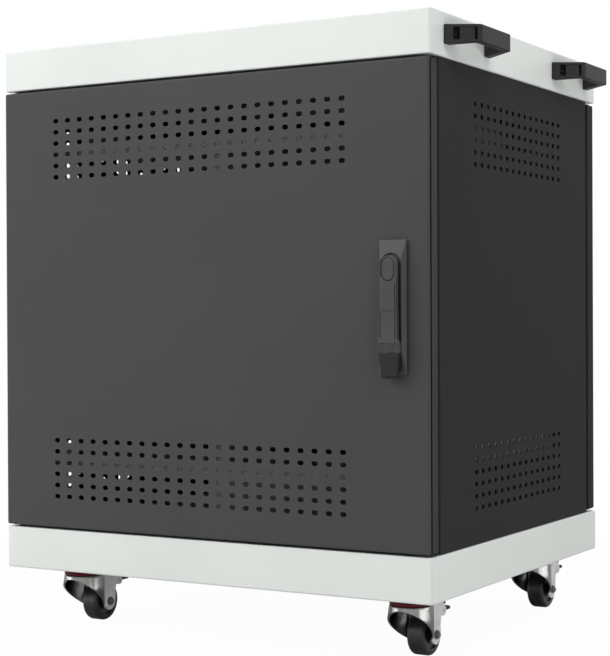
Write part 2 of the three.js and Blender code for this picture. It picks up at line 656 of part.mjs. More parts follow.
function bowHandle(name) {
  const foot = HANDLE_LENGTH / 2;
  const grip = HANDLE_GRIP_LENGTH / 2;
  const slant = (foot - grip) / HANDLE_REACH;
  const inside = HANDLE_REACH - HANDLE_GRIP_THICKNESS;
  const insideHalf = foot - inside * slant - HANDLE_FOOT;
  const bow = outline([
    [GAP, -foot], [HANDLE_REACH, -grip], [HANDLE_REACH, grip], [GAP, foot],
    [GAP, foot - HANDLE_FOOT], [inside, insideHalf], [inside, -insideHalf], [GAP, HANDLE_FOOT - foot],
  ]);
  const thickness = HANDLE_HEIGHT - 2 * HANDLE_BEVEL;
  const geometry = new THREE.ExtrudeGeometry(bow, {
    depth: thickness,
    bevelSize: HANDLE_BEVEL,
    bevelThickness: HANDLE_BEVEL,
    bevelOffset: -HANDLE_BEVEL,
    bevelSegments: 1,
  });
  const blank = solid(geometry.translate(0, 0, -thickness / 2));
  const along = new THREE.Vector2(HANDLE_REACH, foot - grip);
  const legLength = along.length();
  along.normalize();
  const pocketOn = (end) => {
    const at = (distance, depth) => [
      along.x * distance - along.y * depth, end * (foot - along.y * distance - along.x * depth)];
    return alongZ(outline([
      at(POCKET_MARGIN, -2 * CUT_OVERRUN), at(legLength - POCKET_MARGIN, -2 * CUT_OVERRUN),
      at(legLength - POCKET_MARGIN, POCKET_DEPTH), at(POCKET_MARGIN, POCKET_DEPTH),
    ]), -POCKET_HEIGHT / 2, POCKET_HEIGHT / 2);
  };
  return piece(name, blank.subtract(join([pocketOn(-1), pocketOn(1)])), blackPlastic);
}

// Caster: local origin on the swivel axis at the underside of the base; the wheel trails to +Y

const RACEWAY_LOW = -GAP - PLATE_GAUGE - RACEWAY_HEIGHT;
const BELL_TOP = RACEWAY_LOW - SEAL_HEIGHT;
const AXLE_Z = WHEEL_RADIUS - CASTER_HEIGHT;

function casterPlate(name) {
  const plate = alongZ(roundedRectangle(PLATE_SIZE, PLATE_SIZE, CORNER_RADIUS), -GAP - PLATE_GAUGE, -GAP, 1);
  const headTop = BELL_TOP - FORK_GAUGE - GAP;
  const stem = turned([
    [0, headTop - KING_HEAD_HEIGHT], [KING_HEAD_RADIUS, headTop - KING_HEAD_HEIGHT],
    [KING_HEAD_RADIUS, headTop], [KING_PIN_RADIUS, headTop],
    [KING_PIN_RADIUS, RACEWAY_LOW], [RACEWAY_RADIUS, RACEWAY_LOW],
    [RACEWAY_RADIUS, -GAP - PLATE_GAUGE / 2], [0, -GAP - PLATE_GAUGE / 2],
  ], 8, UPRIGHT);
  return piece(name, plate.add(stem), zincSteel);
}

function racewaySeal(name) {
  const inner = KING_HEAD_RADIUS;
  const ring = turned([
    [inner, BELL_TOP + GAP], [SEAL_RADIUS, BELL_TOP + GAP], [SEAL_RADIUS, RACEWAY_LOW - GAP],
    [inner, RACEWAY_LOW - GAP], [inner, BELL_TOP + GAP],
  ], 12, UPRIGHT);
  return piece(name, ring, redSeal);
}

// The fork is one pressing: a bell round the swivel with two flat legs behind it. Its side outline runs straight
// from the bell's front rim to touch the round end of the leg.
function casterFork(name) {
  const earTop = EAR_Y + EAR_RADIUS + CUT_OVERRUN;
  const inside = FORK_OUTSIDE - FORK_GAUGE;
  const bellInside = BELL_RADIUS - FORK_GAUGE;
  const turn = (radius, x) => Math.asin(Math.sqrt(radius ** 2 - x ** 2) / radius);
  const outerAngle = turn(BELL_RADIUS, FORK_OUTSIDE);
  const innerAngle = turn(bellInside, inside);
  const omega = new THREE.Shape()
    .moveTo(-FORK_OUTSIDE, earTop)
    .absarc(0, 0, BELL_RADIUS, Math.PI - outerAngle, 2 * Math.PI + outerAngle)
    .lineTo(FORK_OUTSIDE, earTop)
    .lineTo(inside, earTop)
    .absarc(0, 0, bellInside, innerAngle, Math.PI - innerAngle, true)
    .lineTo(-inside, earTop);
  const wall = alongZ(omega, AXLE_Z - LEG_RADIUS - CUT_OVERRUN, BELL_TOP, 4);
  const frontY = -BELL_RADIUS - CUT_OVERRUN;
  const frontLow = BELL_TOP - BELL_FRONT_HEIGHT;
  const toAxle = new THREE.Vector2(TRAIL - frontY, AXLE_Z - frontLow);
  const touch = toAxle.angle() - Math.asin(LEG_RADIUS / toAxle.length()) - Math.PI / 2;
  const side = new THREE.Shape()
    .moveTo(frontY, BELL_TOP)
    .lineTo(frontY, frontLow)
    .absarc(TRAIL, AXLE_Z, LEG_RADIUS, touch, 2 * Math.PI)
    .lineTo(TRAIL + LEG_RADIUS, AXLE_Z + LEG_RADIUS)
    .lineTo(EAR_Y - EAR_RADIUS, -EAR_DROP - EAR_RADIUS)
    .absarc(EAR_Y, -EAR_DROP, EAR_RADIUS, -Math.PI / 2, Math.PI / 3)
    .lineTo(EAR_Y - EAR_RADIUS, BELL_TOP);
  const swept = alongX(side, -BELL_RADIUS - CUT_OVERRUN, BELL_RADIUS + CUT_OVERRUN, 2);
  const crown = alongZ(disc(BELL_RADIUS - FORK_GAUGE / 2), BELL_TOP - FORK_GAUGE, BELL_TOP, 4);
  const bores = [
    bore(alongZ, KING_PIN_RADIUS, 0, 0, BELL_TOP - 2 * FORK_GAUGE, BELL_TOP + FORK_GAUGE),
    bore(alongX, AXLE_RADIUS, TRAIL, AXLE_Z, -BELL_RADIUS, BELL_RADIUS, 3),
    bore(alongX, PEDAL_PIN_RADIUS, EAR_Y, -EAR_DROP, -BELL_RADIUS, BELL_RADIUS, 3),
  ];
  return piece(name, wall.intersect(swept).add(crown).subtract(join(bores)), brightSteel);
}

function casterAxle(name) {
  const seat = FORK_OUTSIDE + GAP;
  const end = seat + AXLE_HEAD_LENGTH;
  const axle = turned([
    [0, -end], [AXLE_HEAD_RADIUS, -end], [AXLE_HEAD_RADIUS, -seat], [AXLE_RADIUS, -seat],
    [AXLE_RADIUS, seat], [AXLE_HEAD_RADIUS, seat], [AXLE_HEAD_RADIUS, end], [0, end],
  ], 6, CROSSWISE);
  return place(piece(name, axle, zincSteel), 0, TRAIL, AXLE_Z);
}

function casterWheel(name) {
  const half = WHEEL_WIDTH / 2;
  const flats = 1 / Math.cos(Math.PI / WHEEL_SIDES);
  const bore = (AXLE_RADIUS + PIN_PLAY) * flats;
  const side = [
    [bore, half - HUB_RECESS], [WHEEL_RADIUS - TYRE_DEPTH, half - HUB_RECESS],
    [WHEEL_RADIUS - TYRE_DEPTH + TYRE_LIP, half],
    [(WHEEL_RADIUS - TYRE_SHOULDER[0]) * flats, half - TYRE_SHOULDER[1]],
    [WHEEL_RADIUS * flats, half - TYRE_SHOULDER_WIDTH],
  ];
  const mirrored = side.map(([radius, height]) => [radius, -height]).reverse();
  const wheel = turned([...side, ...mirrored, side[0]], WHEEL_SIDES, CROSSWISE, Math.PI / WHEEL_SIDES);
  return place(piece(name, wheel, blackRubber), 0, TRAIL, AXLE_Z);
}

function brakePedal(name) {
  const half = FORK_OUTSIDE - FORK_GAUGE - 2 * GAP;
  const thin = PEDAL_THICKNESS / 2;
  const reach = PEDAL_REACH - EAR_Y;
  const section = new THREE.Shape()
    .moveTo(reach, -thin)
    .lineTo(reach, thin)
    .lineTo(thin, thin)
    .lineTo(thin, PRONG_RISE - PEDAL_THICKNESS)
    .lineTo(PRONG_REACH, PRONG_RISE - PEDAL_THICKNESS)
    .lineTo(PRONG_REACH, PRONG_RISE)
    .lineTo(-PRONG_HEEL, PRONG_RISE)
    .absarc(0, 0, PEDAL_HUB_RADIUS, Math.PI, 4 * Math.PI / 3)
    .lineTo(0, -PEDAL_LOBE)
    .lineTo(PEDAL_HUB_RADIUS, -thin);
  const pedal = alongX(section, -half, half, 2);
  const pinEnd = FORK_OUTSIDE + PEDAL_PIN_PROUD;
  const pin = alongX(disc(PEDAL_PIN_RADIUS), -pinEnd, pinEnd, 3);
  return place(piece(name, pedal.add(pin), blackPlastic), 0, EAR_Y, -EAR_DROP);
}

function caster(corner, side, end) {
  const group = new THREE.Group();
  group.add(
    casterPlate(`caster_plate_${corner}`),
    racewaySeal(`caster_seal_${corner}`),
    casterFork(`caster_fork_${corner}`),
    casterAxle(`caster_axle_${corner}`),
    casterWheel(`caster_wheel_${corner}`),
    brakePedal(`brake_pedal_${corner}`));
  const y = end < 0 ? Y_FRONT + CASTER_INSET_Y : Y_REAR - CASTER_INSET_Y;
  return place(group, side * (CART_WIDTH / 2 - CASTER_INSET_X), y, Z_BASE);
}

// Assembly

const CORNERS = [['fl', -1, -1], ['fr', 1, -1], ['rl', -1, 1], ['rr', 1, 1]];
const sideVents = bothFields(SIDE_COLUMNS, Y_MIDDLE, Z_MIDDLE, (y, z) => box([-2 * SHEET, SHEET], y, z));

const cart = new THREE.Group();
cart.add(
  baseTray(), topCover(),
  sidePanel('right_side_panel', 1, sideVents), sidePanel('left_side_panel', -1, []),
  deck('lower_deck', Z_LOWER_DECK), deck('upper_deck', Z_UPPER_DECK), centrePartition(),
  deviceRack('left_device_rack', -1), deviceRack('right_device_rack', 1), powerStrip(), powerInlet(),
  frontDoor(), swingHandleLock(), rearDoor(), rearLock());
for (const [corner, side, end] of CORNERS) {
  cart.add(cornerPost(`corner_post_${corner}`, side, end));
  cart.add(caster(corner, side, end));
  const handle = bowHandle(`bow_handle_${corner}`);
  const handleY = Y_MIDDLE + end * (CART_DEPTH / 2 - HANDLE_FROM_EDGE);
  const handleZ = Z_CAP + HANDLE_RISE + HANDLE_HEIGHT / 2;
  cart.add(place(handle, side * CART_WIDTH / 2, handleY, handleZ, side > 0 ? 0 : Math.PI));
}
for (const [end, hinge] of Object.entries(HINGES)) {
  cart.add(hingePin(`${end}_hinge_pin_lower`, hinge, Z_BASE_TOP, DOOR_BOTTOM));
  cart.add(hingePin(`${end}_hinge_pin_upper`, hinge, DOOR_TOP, Z_CAP));
}

export default cart;
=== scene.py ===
# A laptop charging cart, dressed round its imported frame: folded sheet metal with punched vents, a
# swing-handle lock, bow handles and braked swivel casters. Sizes are millimetres until a mesh is made.

from functools import lru_cache
import math

import bmesh
import bpy
from mathutils import Matrix, Vector


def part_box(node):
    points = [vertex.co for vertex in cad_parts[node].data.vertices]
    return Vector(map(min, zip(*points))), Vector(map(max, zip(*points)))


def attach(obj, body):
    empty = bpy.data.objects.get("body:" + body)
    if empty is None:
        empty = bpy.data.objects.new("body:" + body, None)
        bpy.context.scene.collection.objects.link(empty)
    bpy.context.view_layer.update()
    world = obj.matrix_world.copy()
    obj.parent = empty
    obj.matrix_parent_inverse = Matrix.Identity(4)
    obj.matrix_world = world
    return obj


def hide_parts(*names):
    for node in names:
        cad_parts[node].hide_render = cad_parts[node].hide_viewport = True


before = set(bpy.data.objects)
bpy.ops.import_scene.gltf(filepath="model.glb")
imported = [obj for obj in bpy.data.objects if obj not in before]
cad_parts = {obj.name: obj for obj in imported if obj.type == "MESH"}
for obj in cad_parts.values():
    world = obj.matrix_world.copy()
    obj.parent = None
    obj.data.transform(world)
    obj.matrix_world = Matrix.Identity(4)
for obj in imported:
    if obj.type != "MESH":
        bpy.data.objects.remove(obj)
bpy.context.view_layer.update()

MM = 0.001
CORNERS = ("fl", "fr", "rl", "rr")
SIDES = (1, -1)
CABINET = "cabinet"

# Sheet metal
SHEET = 1.5
FOLD = 2.2
CAP_FOLD = 2.6
RIM_FOLD = 1.6
LEAST_FOLD = 0.6
CAP_CORNER = 3.6
DOOR_CORNER = 2.5
LEAST_CORNER = 0.4
RIM_FLANGE = 24.0
DOOR_RETURN = 12.0
REVEAL_START = 2.4
REVEAL_WIDTH = 4.2
REVEAL_DEPTH = 3.0
RETURN_SHADE_FADE = 0.4
FOLD_STEPS = 4

# Punched vents
PUNCH_LENGTH = 8.4
PUNCH_HEIGHT = 5.8
PUNCH_PITCH = 18.5
PUNCH_ROW_PITCH = 14.0
PUNCH_DEPTH = 8.0
FRONT_COLUMNS = 23
SIDE_COLUMNS = 15
FIELD_ROWS = 6
FIELD_FROM_MIDDLE = 199.0
FRONT_FIELD_SHIFT = -13.5


@lru_cache(maxsize=None)
def span(node):
    """The lowest and highest corner of a CAD node, in millimetres."""
    low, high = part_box(node)
    return low / MM, high / MM


def centre(node):
    low, high = span(node)
    return (low + high) / 2


def half_size(node):
    low, high = span(node)
    return [(b - a) / 2 for a, b in zip(low, high)]


# Node trees: any node comes from Graph.node, and arithmetic on its outputs adds Math nodes

def arithmetic(operation, reflected=False):
    def apply(self, other):
        first, second = (other, self) if reflected else (self, other)
        return self.graph.node("ShaderNodeMath", {"operation": operation}, {0: first, 1: second})

    return apply


class Value:
    """A node's output socket, which can be added, subtracted and multiplied."""

    def __init__(self, graph, socket):
        self.graph = graph
        self.socket = socket

    __add__ = arithmetic("ADD")
    __radd__ = arithmetic("ADD", reflected=True)
    __sub__ = arithmetic("SUBTRACT")
    __rsub__ = arithmetic("SUBTRACT", reflected=True)
    __mul__ = arithmetic("MULTIPLY")
    __rmul__ = arithmetic("MULTIPLY", reflected=True)


class Graph:
    """A node tree in the making."""

    def __init__(self, tree):
        self.tree = tree

    def node(self, kind, settings=None, inputs=None, output=0):
        made = self.tree.nodes.new(kind)
        for name, setting in (settings or {}).items():
            setattr(made, name, setting)
        for key, given in (inputs or {}).items():
            for value in given if isinstance(given, list) else [given]:
                if isinstance(value, Value):
                    self.tree.links.new(value.socket, made.inputs[key])
                else:
                    made.inputs[key].default_value = value
        return Value(self, made.outputs[output]) if made.outputs else None


class Finish(Graph):
    """A material in the making, on Object coordinates."""

    def __init__(self, name):
        self.material = bpy.data.materials.new(name)
        self.material.use_nodes = True
        super().__init__(self.material.node_tree)
        self.tree.nodes.clear()
        self.position = self.node("ShaderNodeTexCoord", output="Object")

    def noise(self, scale, detail, roughness=0.5, stretch=(1, 1, 1)):
        place = self.node("ShaderNodeMapping", {}, {"Vector": self.position, "Scale": stretch})
        return self.node("ShaderNodeTexNoise", {}, {
            "Vector": place, "Scale": scale, "Detail": detail, "Roughness": roughness})

    def grade(self, value, low, high, to_low=0.0, to_high=1.0):
        return self.node("ShaderNodeMapRange", {"interpolation_type": "SMOOTHSTEP"}, {
            "Value": value, "From Min": low, "From Max": high, "To Min": to_low, "To Max": to_high})

    def mix(self, factor, first, second):
        return self.node(
            "ShaderNodeMix", {"data_type": "RGBA"}, {0: factor, 6: first, 7: second}, output=2)

    def edges(self, radius):
        """About 0 on flat faces and 1 on edges that turn within the radius, in metres."""
        rounded = self.node("ShaderNodeBevel", {"samples": 6}, {"Radius": radius})
        plain = self.node("ShaderNodeNewGeometry", output="Normal")
        along = self.node("ShaderNodeVectorMath", {"operation": "DOT_PRODUCT"}, {
            0: rounded, 1: plain}, output="Value")
        return self.grade(1 - along, low=0.02, high=0.25)

    def bump(self, height, strength, distance):
        return self.node("ShaderNodeBump", {}, {
            "Height": height, "Strength": strength, "Distance": distance})

    def surface(self, **inputs):
        named = {key.replace("_", " "): value for key, value in inputs.items()}
        shader = self.node("ShaderNodeBsdfPrincipled", {}, named)
        self.node("ShaderNodeOutputMaterial", {}, {"Surface": shader})
        return self.material


CLOUDS = (0.3, 0.7)


def rgb(red, green, blue):
    return (red, green, blue, 1.0)


def grey(value):
    return rgb(value, value, value)


def shade(colour, share):
    """A colour made darker or lighter, no lighter than white."""
    return rgb(*[min(1.0, share * part) for part in colour[:3]])


def powder_coat(name, colour, edge_wear_and_highlight_colour, roughness, sheen, behind=None):
    """Baked powder paint: orange peel, faint clouding, and edges painted lighter, partly as worn paint and
    partly as painted highlight.

    behind is a depth in metres, and the colour of painted shade on what lies further back, such as the
    door's returns.
    """
    paint = Finish(name)
    cloud = paint.noise(scale=5.0, detail=3.0)
    grain = paint.noise(scale=1900.0, detail=1.0)
    peel = paint.noise(scale=520.0, detail=2.0)
    tone = paint.mix(paint.grade(cloud, *CLOUDS), shade(colour, 0.965), shade(colour, 1.02))
    # Painted shade: what lies behind the face, such as the door's returns, takes a darker colour.
    if behind:
        start, return_shade = behind
        depth = paint.node("ShaderNodeSeparateXYZ", {}, {"Vector": paint.position}, output="Y")
        tone = paint.mix(paint.grade(depth, start, start + RETURN_SHADE_FADE * MM), tone, return_shade)
    # Edges lighter: partly worn paint, partly painted highlight.
    edge_wear_and_highlight = paint.mix(paint.edges(0.0012) * 0.55, tone, edge_wear_and_highlight_colour)
    return paint.surface(
        Base_Color=edge_wear_and_highlight,
        Roughness=roughness - 0.05 + 0.08 * grain + 0.03 * cloud,
        Normal=paint.bump(peel + 0.5 * grain, strength=0.14, distance=0.0004),
        Specular_IOR_Level=sheen)


def moulded_plastic(name, colour, edge_wear_and_highlight_colour, roughness, sheen, grain_scale=1500.0):
    """Injection-moulded plastic with a fine spark-eroded grain, and edges painted lighter as wear and
    painted highlight.
    """
    plastic = Finish(name)
    grain = plastic.noise(grain_scale, detail=3.0, roughness=0.65)
    cloud = plastic.noise(scale=14.0, detail=2.0)
    tone = plastic.mix(plastic.grade(cloud, *CLOUDS), shade(colour, 0.85), colour)
    # Edges lighter: partly worn plastic, partly painted highlight.
    edge_wear_and_highlight = plastic.mix(plastic.edges(0.0009) * 0.6, tone, edge_wear_and_highlight_colour)
    return plastic.surface(
        Base_Color=edge_wear_and_highlight,
        Roughness=roughness - 0.05 + 0.14 * grain,
        Normal=plastic.bump(grain, strength=0.22, distance=0.0003),
        Specular_IOR_Level=sheen)


def zinc_plate(name):
    """Passivated zinc: cloudy spangle and small handling marks."""
    metal = Finish(name)
    spangle = metal.node("ShaderNodeTexVoronoi", {"feature": "F1"}, {
        "Vector": metal.position, "Scale": 320.0}, output="Color")
    tint = metal.node("ShaderNodeSeparateColor", {}, {"Color": spangle})
    marks = metal.noise(scale=900.0, detail=4.0, stretch=(1, 1, 0.15))
    return metal.surface(
        Base_Color=metal.mix(tint, rgb(0.50, 0.50, 0.49), rgb(0.66, 0.66, 0.64)),
        Metallic=1.0,
        Roughness=0.26 + 0.12 * marks + 0.06 * tint,
        Normal=metal.bump(marks, strength=0.06, distance=0.0002))


def bright_steel(name, colour, roughness, metallic=1.0):
    """Pressed, plated steel with faint draw lines."""
    metal = Finish(name)
    lines = metal.noise(scale=260.0, detail=4.0, stretch=(6, 6, 0.35))
    cloud = metal.noise(scale=60.0, detail=2.0)
    return metal.surface(
        Base_Color=metal.mix(metal.grade(cloud, low=0.35, high=0.7), shade(colour, 0.82), colour),
        Metallic=metallic,
        Roughness=roughness - 0.03 + 0.1 * lines + 0.06 * cloud,
        Normal=metal.bump(lines, strength=0.05, distance=0.0002))


def tyre_rubber(name):
    """Hard black rubber, with dust worked into its grain."""
    rubber = Finish(name)
    grain = rubber.noise(scale=1300.0, detail=3.0)
    dust = rubber.grade(rubber.noise(scale=90.0, detail=4.0, roughness=0.7), low=0.45, high=0.8)
    return rubber.surface(
        Base_Color=rubber.mix(dust * 0.5, grey(0.015), rgb(0.030, 0.029, 0.028)),
        Roughness=0.30 + 0.12 * grain + 0.12 * dust,
        Normal=rubber.bump(grain, strength=0.2, distance=0.0003),
        Specular_IOR_Level=0.5)


def seal_red(name):
    """Dark red rubber with a fine grain."""
    seal = Finish(name)
    grain = seal.noise(scale=700.0, detail=3.0)
    return seal.surface(
        Base_Color=seal.mix(
            seal.grade(grain, *CLOUDS), rgb(0.075, 0.005, 0.011), rgb(0.115, 0.009, 0.017)),
        Roughness=0.36 + 0.12 * grain,
        Normal=seal.bump(grain, strength=0.1, distance=0.0003),
        Specular_IOR_Level=0.15)


# One charcoal paint in two copies: a lighter copy for the lit front door, and a darker copy that is painted
# shade on the side panels, rear door and corner posts. The front door's returns also take a darker colour,
# painted shade.
CHARCOAL_LIT_COPY = powder_coat(
    "door_powder_coat", rgb(0.058, 0.058, 0.059), grey(0.12), roughness=0.5, sheen=0.14,
    behind=((span("front_door")[0].y + REVEAL_START) * MM, rgb(0.019, 0.019, 0.020)))
CHARCOAL_PAINTED_SHADE = powder_coat(
    "panel_powder_coat", rgb(0.0275, 0.0275, 0.0285), grey(0.08), roughness=0.6, sheen=0.03)
LIGHT_GREY = powder_coat(
    "light_grey_powder_coat", rgb(0.74, 0.77, 0.74), rgb(0.84, 0.86, 0.84), roughness=0.46, sheen=0.4)
HANDLE_BLACK = moulded_plastic("handle_plastic", grey(0.040), grey(0.12), roughness=0.42, sheen=0.05)
LOCK_GREY = moulded_plastic("lock_plastic", grey(0.068), grey(0.17), roughness=0.42, sheen=0.2)
GRIP_BLACK = moulded_plastic(
    "grip_plastic", grey(0.020), grey(0.06), roughness=0.48, sheen=0.2, grain_scale=900.0)
ZINC = zinc_plate("zinc_plate")
BRIGHT = bright_steel("bright_plated_steel", rgb(0.46, 0.455, 0.445), roughness=0.22)
# The fork's legs and bell are one plated steel in two copies: the legs lighter and less metallic, a painted
# grey reflection; the bell darkened, a painted dark reflection.
FORK_LEG_PAINTED_REFLECTION = bright_steel("satin_fork_leg", rgb(0.80, 0.79, 0.78), roughness=0.45, metallic=0.2)
BELL_PAINTED_DARK_REFLECTION = bright_steel("polished_bell", rgb(0.27, 0.265, 0.26), roughness=0.15)
BOLT = bright_steel("axle_bolt_steel", rgb(0.21, 0.205, 0.20), roughness=0.22, metallic=0.7)
# Zinc screws painted near black: painted shade for the deep screw wells of the handles.
SCREW_PAINTED_SHADE = bright_steel("blackened_screw", grey(0.025), roughness=0.55, metallic=0.1)
SEAL = seal_red("raceway_seal")
RUBBER = tyre_rubber("tyre_rubber")

FINISHES_OF_SLOT = {
    "charcoal_paint": (CHARCOAL_LIT_COPY, CHARCOAL_PAINTED_SHADE),
    "light_grey_paint": (LIGHT_GREY,),
    "black_plastic": (HANDLE_BLACK, GRIP_BLACK),
    "lock_plastic": (LOCK_GREY,),
    "zinc_steel": (ZINC, BRIGHT, BOLT, SCREW_PAINTED_SHADE),
    "bright_steel": (FORK_LEG_PAINTED_REFLECTION, BELL_PAINTED_DARK_REFLECTION),
    "red_seal": (SEAL,),
    "black_rubber": (RUBBER,),
}
SLOT_OF = {finish.name: slot for slot, finishes in FINISHES_OF_SLOT.items() for finish in finishes}


# Outlines and meshes in millimetres

def arc(middle, radius, start, end, steps):
    """Points on a circle from one angle to another, in degrees."""
    angles = [math.radians(start + (end - start) * k / steps) for k in range(steps + 1)]
    return [(middle[0] + radius * math.cos(a), middle[1] + radius * math.sin(a)) for a in angles]


def quarter(radius):
    return arc((0, 0), radius, 0, 90, FOLD_STEPS)


def hexagon(radius):
    return arc((0, 0), radius, 0, 300, 5)


def rectangle(left, low, right, high):
    return [(left, low), (right, low), (right, high), (left, high)]


def rounded_loop(half_u, half_v, radius):
    loop = []
    for turns, (side_u, side_v) in enumerate(((1, 1), (-1, 1), (-1, -1), (1, -1))):
        middle = (side_u * (half_u - radius), side_v * (half_v - radius))
        loop += arc(middle, radius, 90 * turns, 90 * (turns + 1), FOLD_STEPS)
    return loop


def filleted(corners, steps=5):
    """An outline from (u, v, radius) corners, each rounded to its radius."""
    outline = []
    count = len(corners)
    for k, (u, v, radius) in enumerate(corners):
        here = Vector((u, v))
        before = (Vector(corners[k - 1][:2]) - here).normalized()
        after = (Vector(corners[(k + 1) % count][:2]) - here).normalized()
        if radius <= 0:
            outline.append((u, v))
            continue
        half = before.angle(after) / 2
        first = here + before * radius / math.tan(half)
        last = here + after * radius / math.tan(half)
        middle = here + (before + after).normalized() * radius / math.sin(half)
        for step in range(steps + 1):
            way = first.lerp(last, step / steps) - middle
            point = middle + way.normalized() * radius
            outline.append((point.x, point.y))
    return outline


def both_ends(half):
    """A turned profile, symmetrical about 0, from its (radius, along) points on the positive side."""
    return [(radius, -along) for radius, along in half] + half[::-1]


def smooth(value, low, high):
    """0 below low, 1 above high, eased between them."""
    t = min(1.0, max(0.0, (value - low) / (high - low)))
    return t * t * (3 - 2 * t)


def stations(first, last, step):
    count = max(2, round(abs(last - first) / step))
    return [first + (last - first) * k / count for k in range(count + 1)]


AXES = {
    "X": lambda u, v, w: (w, u, v),
    "Y": lambda u, v, w: (u, w, v),
    "Z": lambda u, v, w: (u, v, w),
}


def face_out(mesh):
    bmesh.ops.recalc_face_normals(mesh, faces=mesh.faces[:])
    return mesh


def skin(rings, closed=True, capped=True):
    """Quads between rings of points, with the first and last ring closed."""
    mesh = bmesh.new()
    rows = [[mesh.verts.new(point) for point in ring] for ring in rings]
    for low, high in zip(rows, rows[1:]):
        for i in range(len(low) if closed else len(low) - 1):
            j = (i + 1) % len(low)
            mesh.faces.new((low[i], low[j], high[j], high[i]))
    if capped:
        mesh.faces.new(rows[0])
        mesh.faces.new(rows[-1])
    return face_out(mesh)


def prism(outline, low, high, axis):
    along = AXES[axis]
    return skin([[along(u, v, w) for u, v in outline] for w in (low, high)])


def prism_at(place, outline, low, high):
    """A prism along y, its outline drawn round a place's x and z."""
    return prism([(place.x + u, place.z + v) for u, v in outline], low, high, "Y")


def turned(profile, axis, sides):
    """A solid of revolution from (radius, along) points; a profile ends on the axis or on itself."""
    along = AXES[axis]
    angles = [math.tau * k / sides for k in range(sides)]
    rings = []
    for radius, w in profile:
        rings.append([along(radius * math.cos(a), radius * math.sin(a), w) for a in angles])
    mesh = skin(rings, capped=False)
    bmesh.ops.remove_doubles(mesh, verts=mesh.verts[:], dist=1e-4)
    return face_out(mesh)


def turned_at(place, profile, sides):
    """A solid of revolution along y, its axis through a place's x and z."""
    return moved(turned(profile, "Y", sides), (place.x, 0, place.z))


def rod(radius, low, high):
    """The (radius, along) profile of a plain rod."""
    return [(0, low), (radius, low), (radius, high), (0, high)]


def soften(mesh, width, segments, angle=40):
    """Rounds the edges that turn by more than an angle."""
    sharp = [edge for edge in mesh.edges if edge.calc_face_angle(0.0) > math.radians(angle)]
    bmesh.ops.bevel(
        mesh, geom=sharp, offset=width, segments=segments, profile=0.5, affect="EDGES",
        clamp_overlap=True)
    return mesh


def moved(mesh, offset):
    bmesh.ops.translate(mesh, vec=Vector(offset), verts=mesh.verts[:])
    return mesh


def turn(mesh, matrix):
    bmesh.ops.transform(mesh, matrix=matrix, verts=mesh.verts[:])
    return mesh


def mirrored(mesh, matrix):
    """Moves a mesh by a matrix that mirrors it, its faces still facing out."""
    turn(mesh, matrix)
    bmesh.ops.reverse_faces(mesh, faces=mesh.faces[:])
    return mesh


def joined(meshes):
    whole = bmesh.new()
    for mesh in meshes:
        part = bpy.data.meshes.new("part")
        mesh.to_mesh(part)
        whole.from_mesh(part)
        mesh.free()
        bpy.data.meshes.remove(part)
    return whole


def linked(name, data):
    made = bpy.data.objects.new(name, data)
    bpy.context.scene.collection.objects.link(made)
    return made


def loose(name, mesh):
    """An object that rides on nothing yet; the mesh it is made from goes."""
    data = bpy.data.meshes.new(name)
    mesh.to_mesh(data)
    mesh.free()
    return linked(name, data)


def evaluated(made):
    """A new mesh, as an object's modifiers leave it."""
    graph = bpy.context.evaluated_depsgraph_get()
    return bpy.data.meshes.new_from_object(made.evaluated_get(graph))


def settled(made):
    """The mesh that an object's modifiers make; the object goes."""
    result = evaluated(made)
    mesh = bmesh.new()
    mesh.from_mesh(result)
    bpy.data.meshes.remove(result)
    discard(made)
    return mesh


def discard(made):
    data = made.data
    bpy.data.objects.remove(made)
    bpy.data.meshes.remove(data)


def cut(mesh, *cutters):
    """Takes each cutter out of a closed mesh."""
    blank = loose("blank", mesh)
    tools = [loose("cutter", cutter) for cutter in cutters]
    for tool in tools:
        difference = blank.modifiers.new("cut", "BOOLEAN")
        difference.operation = "DIFFERENCE"
        difference.solver = "MANIFOLD"
        difference.object = tool
    result = settled(blank)
    for tool in tools:
        discard(tool)
    return result


def piece(name, mesh, finish, body, node=None, sharp=32, slot=None):
    """A finished object from a mesh in millimetres, riding on its body and standing for a node."""
    bmesh.ops.scale(mesh, vec=(MM, MM, MM), verts=mesh.verts[:])
    made = loose(name, mesh)
    data = made.data
    data.materials.clear()
    data.materials.append(finish)
    data.polygons.foreach_set("material_index", [0] * len(data.polygons))
    data.shade_smooth()
    data.set_sharp_from_angle(angle=math.radians(sharp))
    weighted = made.modifiers.new("even_normals", "WEIGHTED_NORMAL")
    weighted.keep_sharp = True
    even = evaluated(made)
    made.modifiers.clear()
    made.data = even
    bpy.data.meshes.remove(data)
    even.name = name
    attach(made, body)
    if node:
        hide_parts(node)
    slot or SLOT_OF[finish.name]


# Geometry Nodes patterns

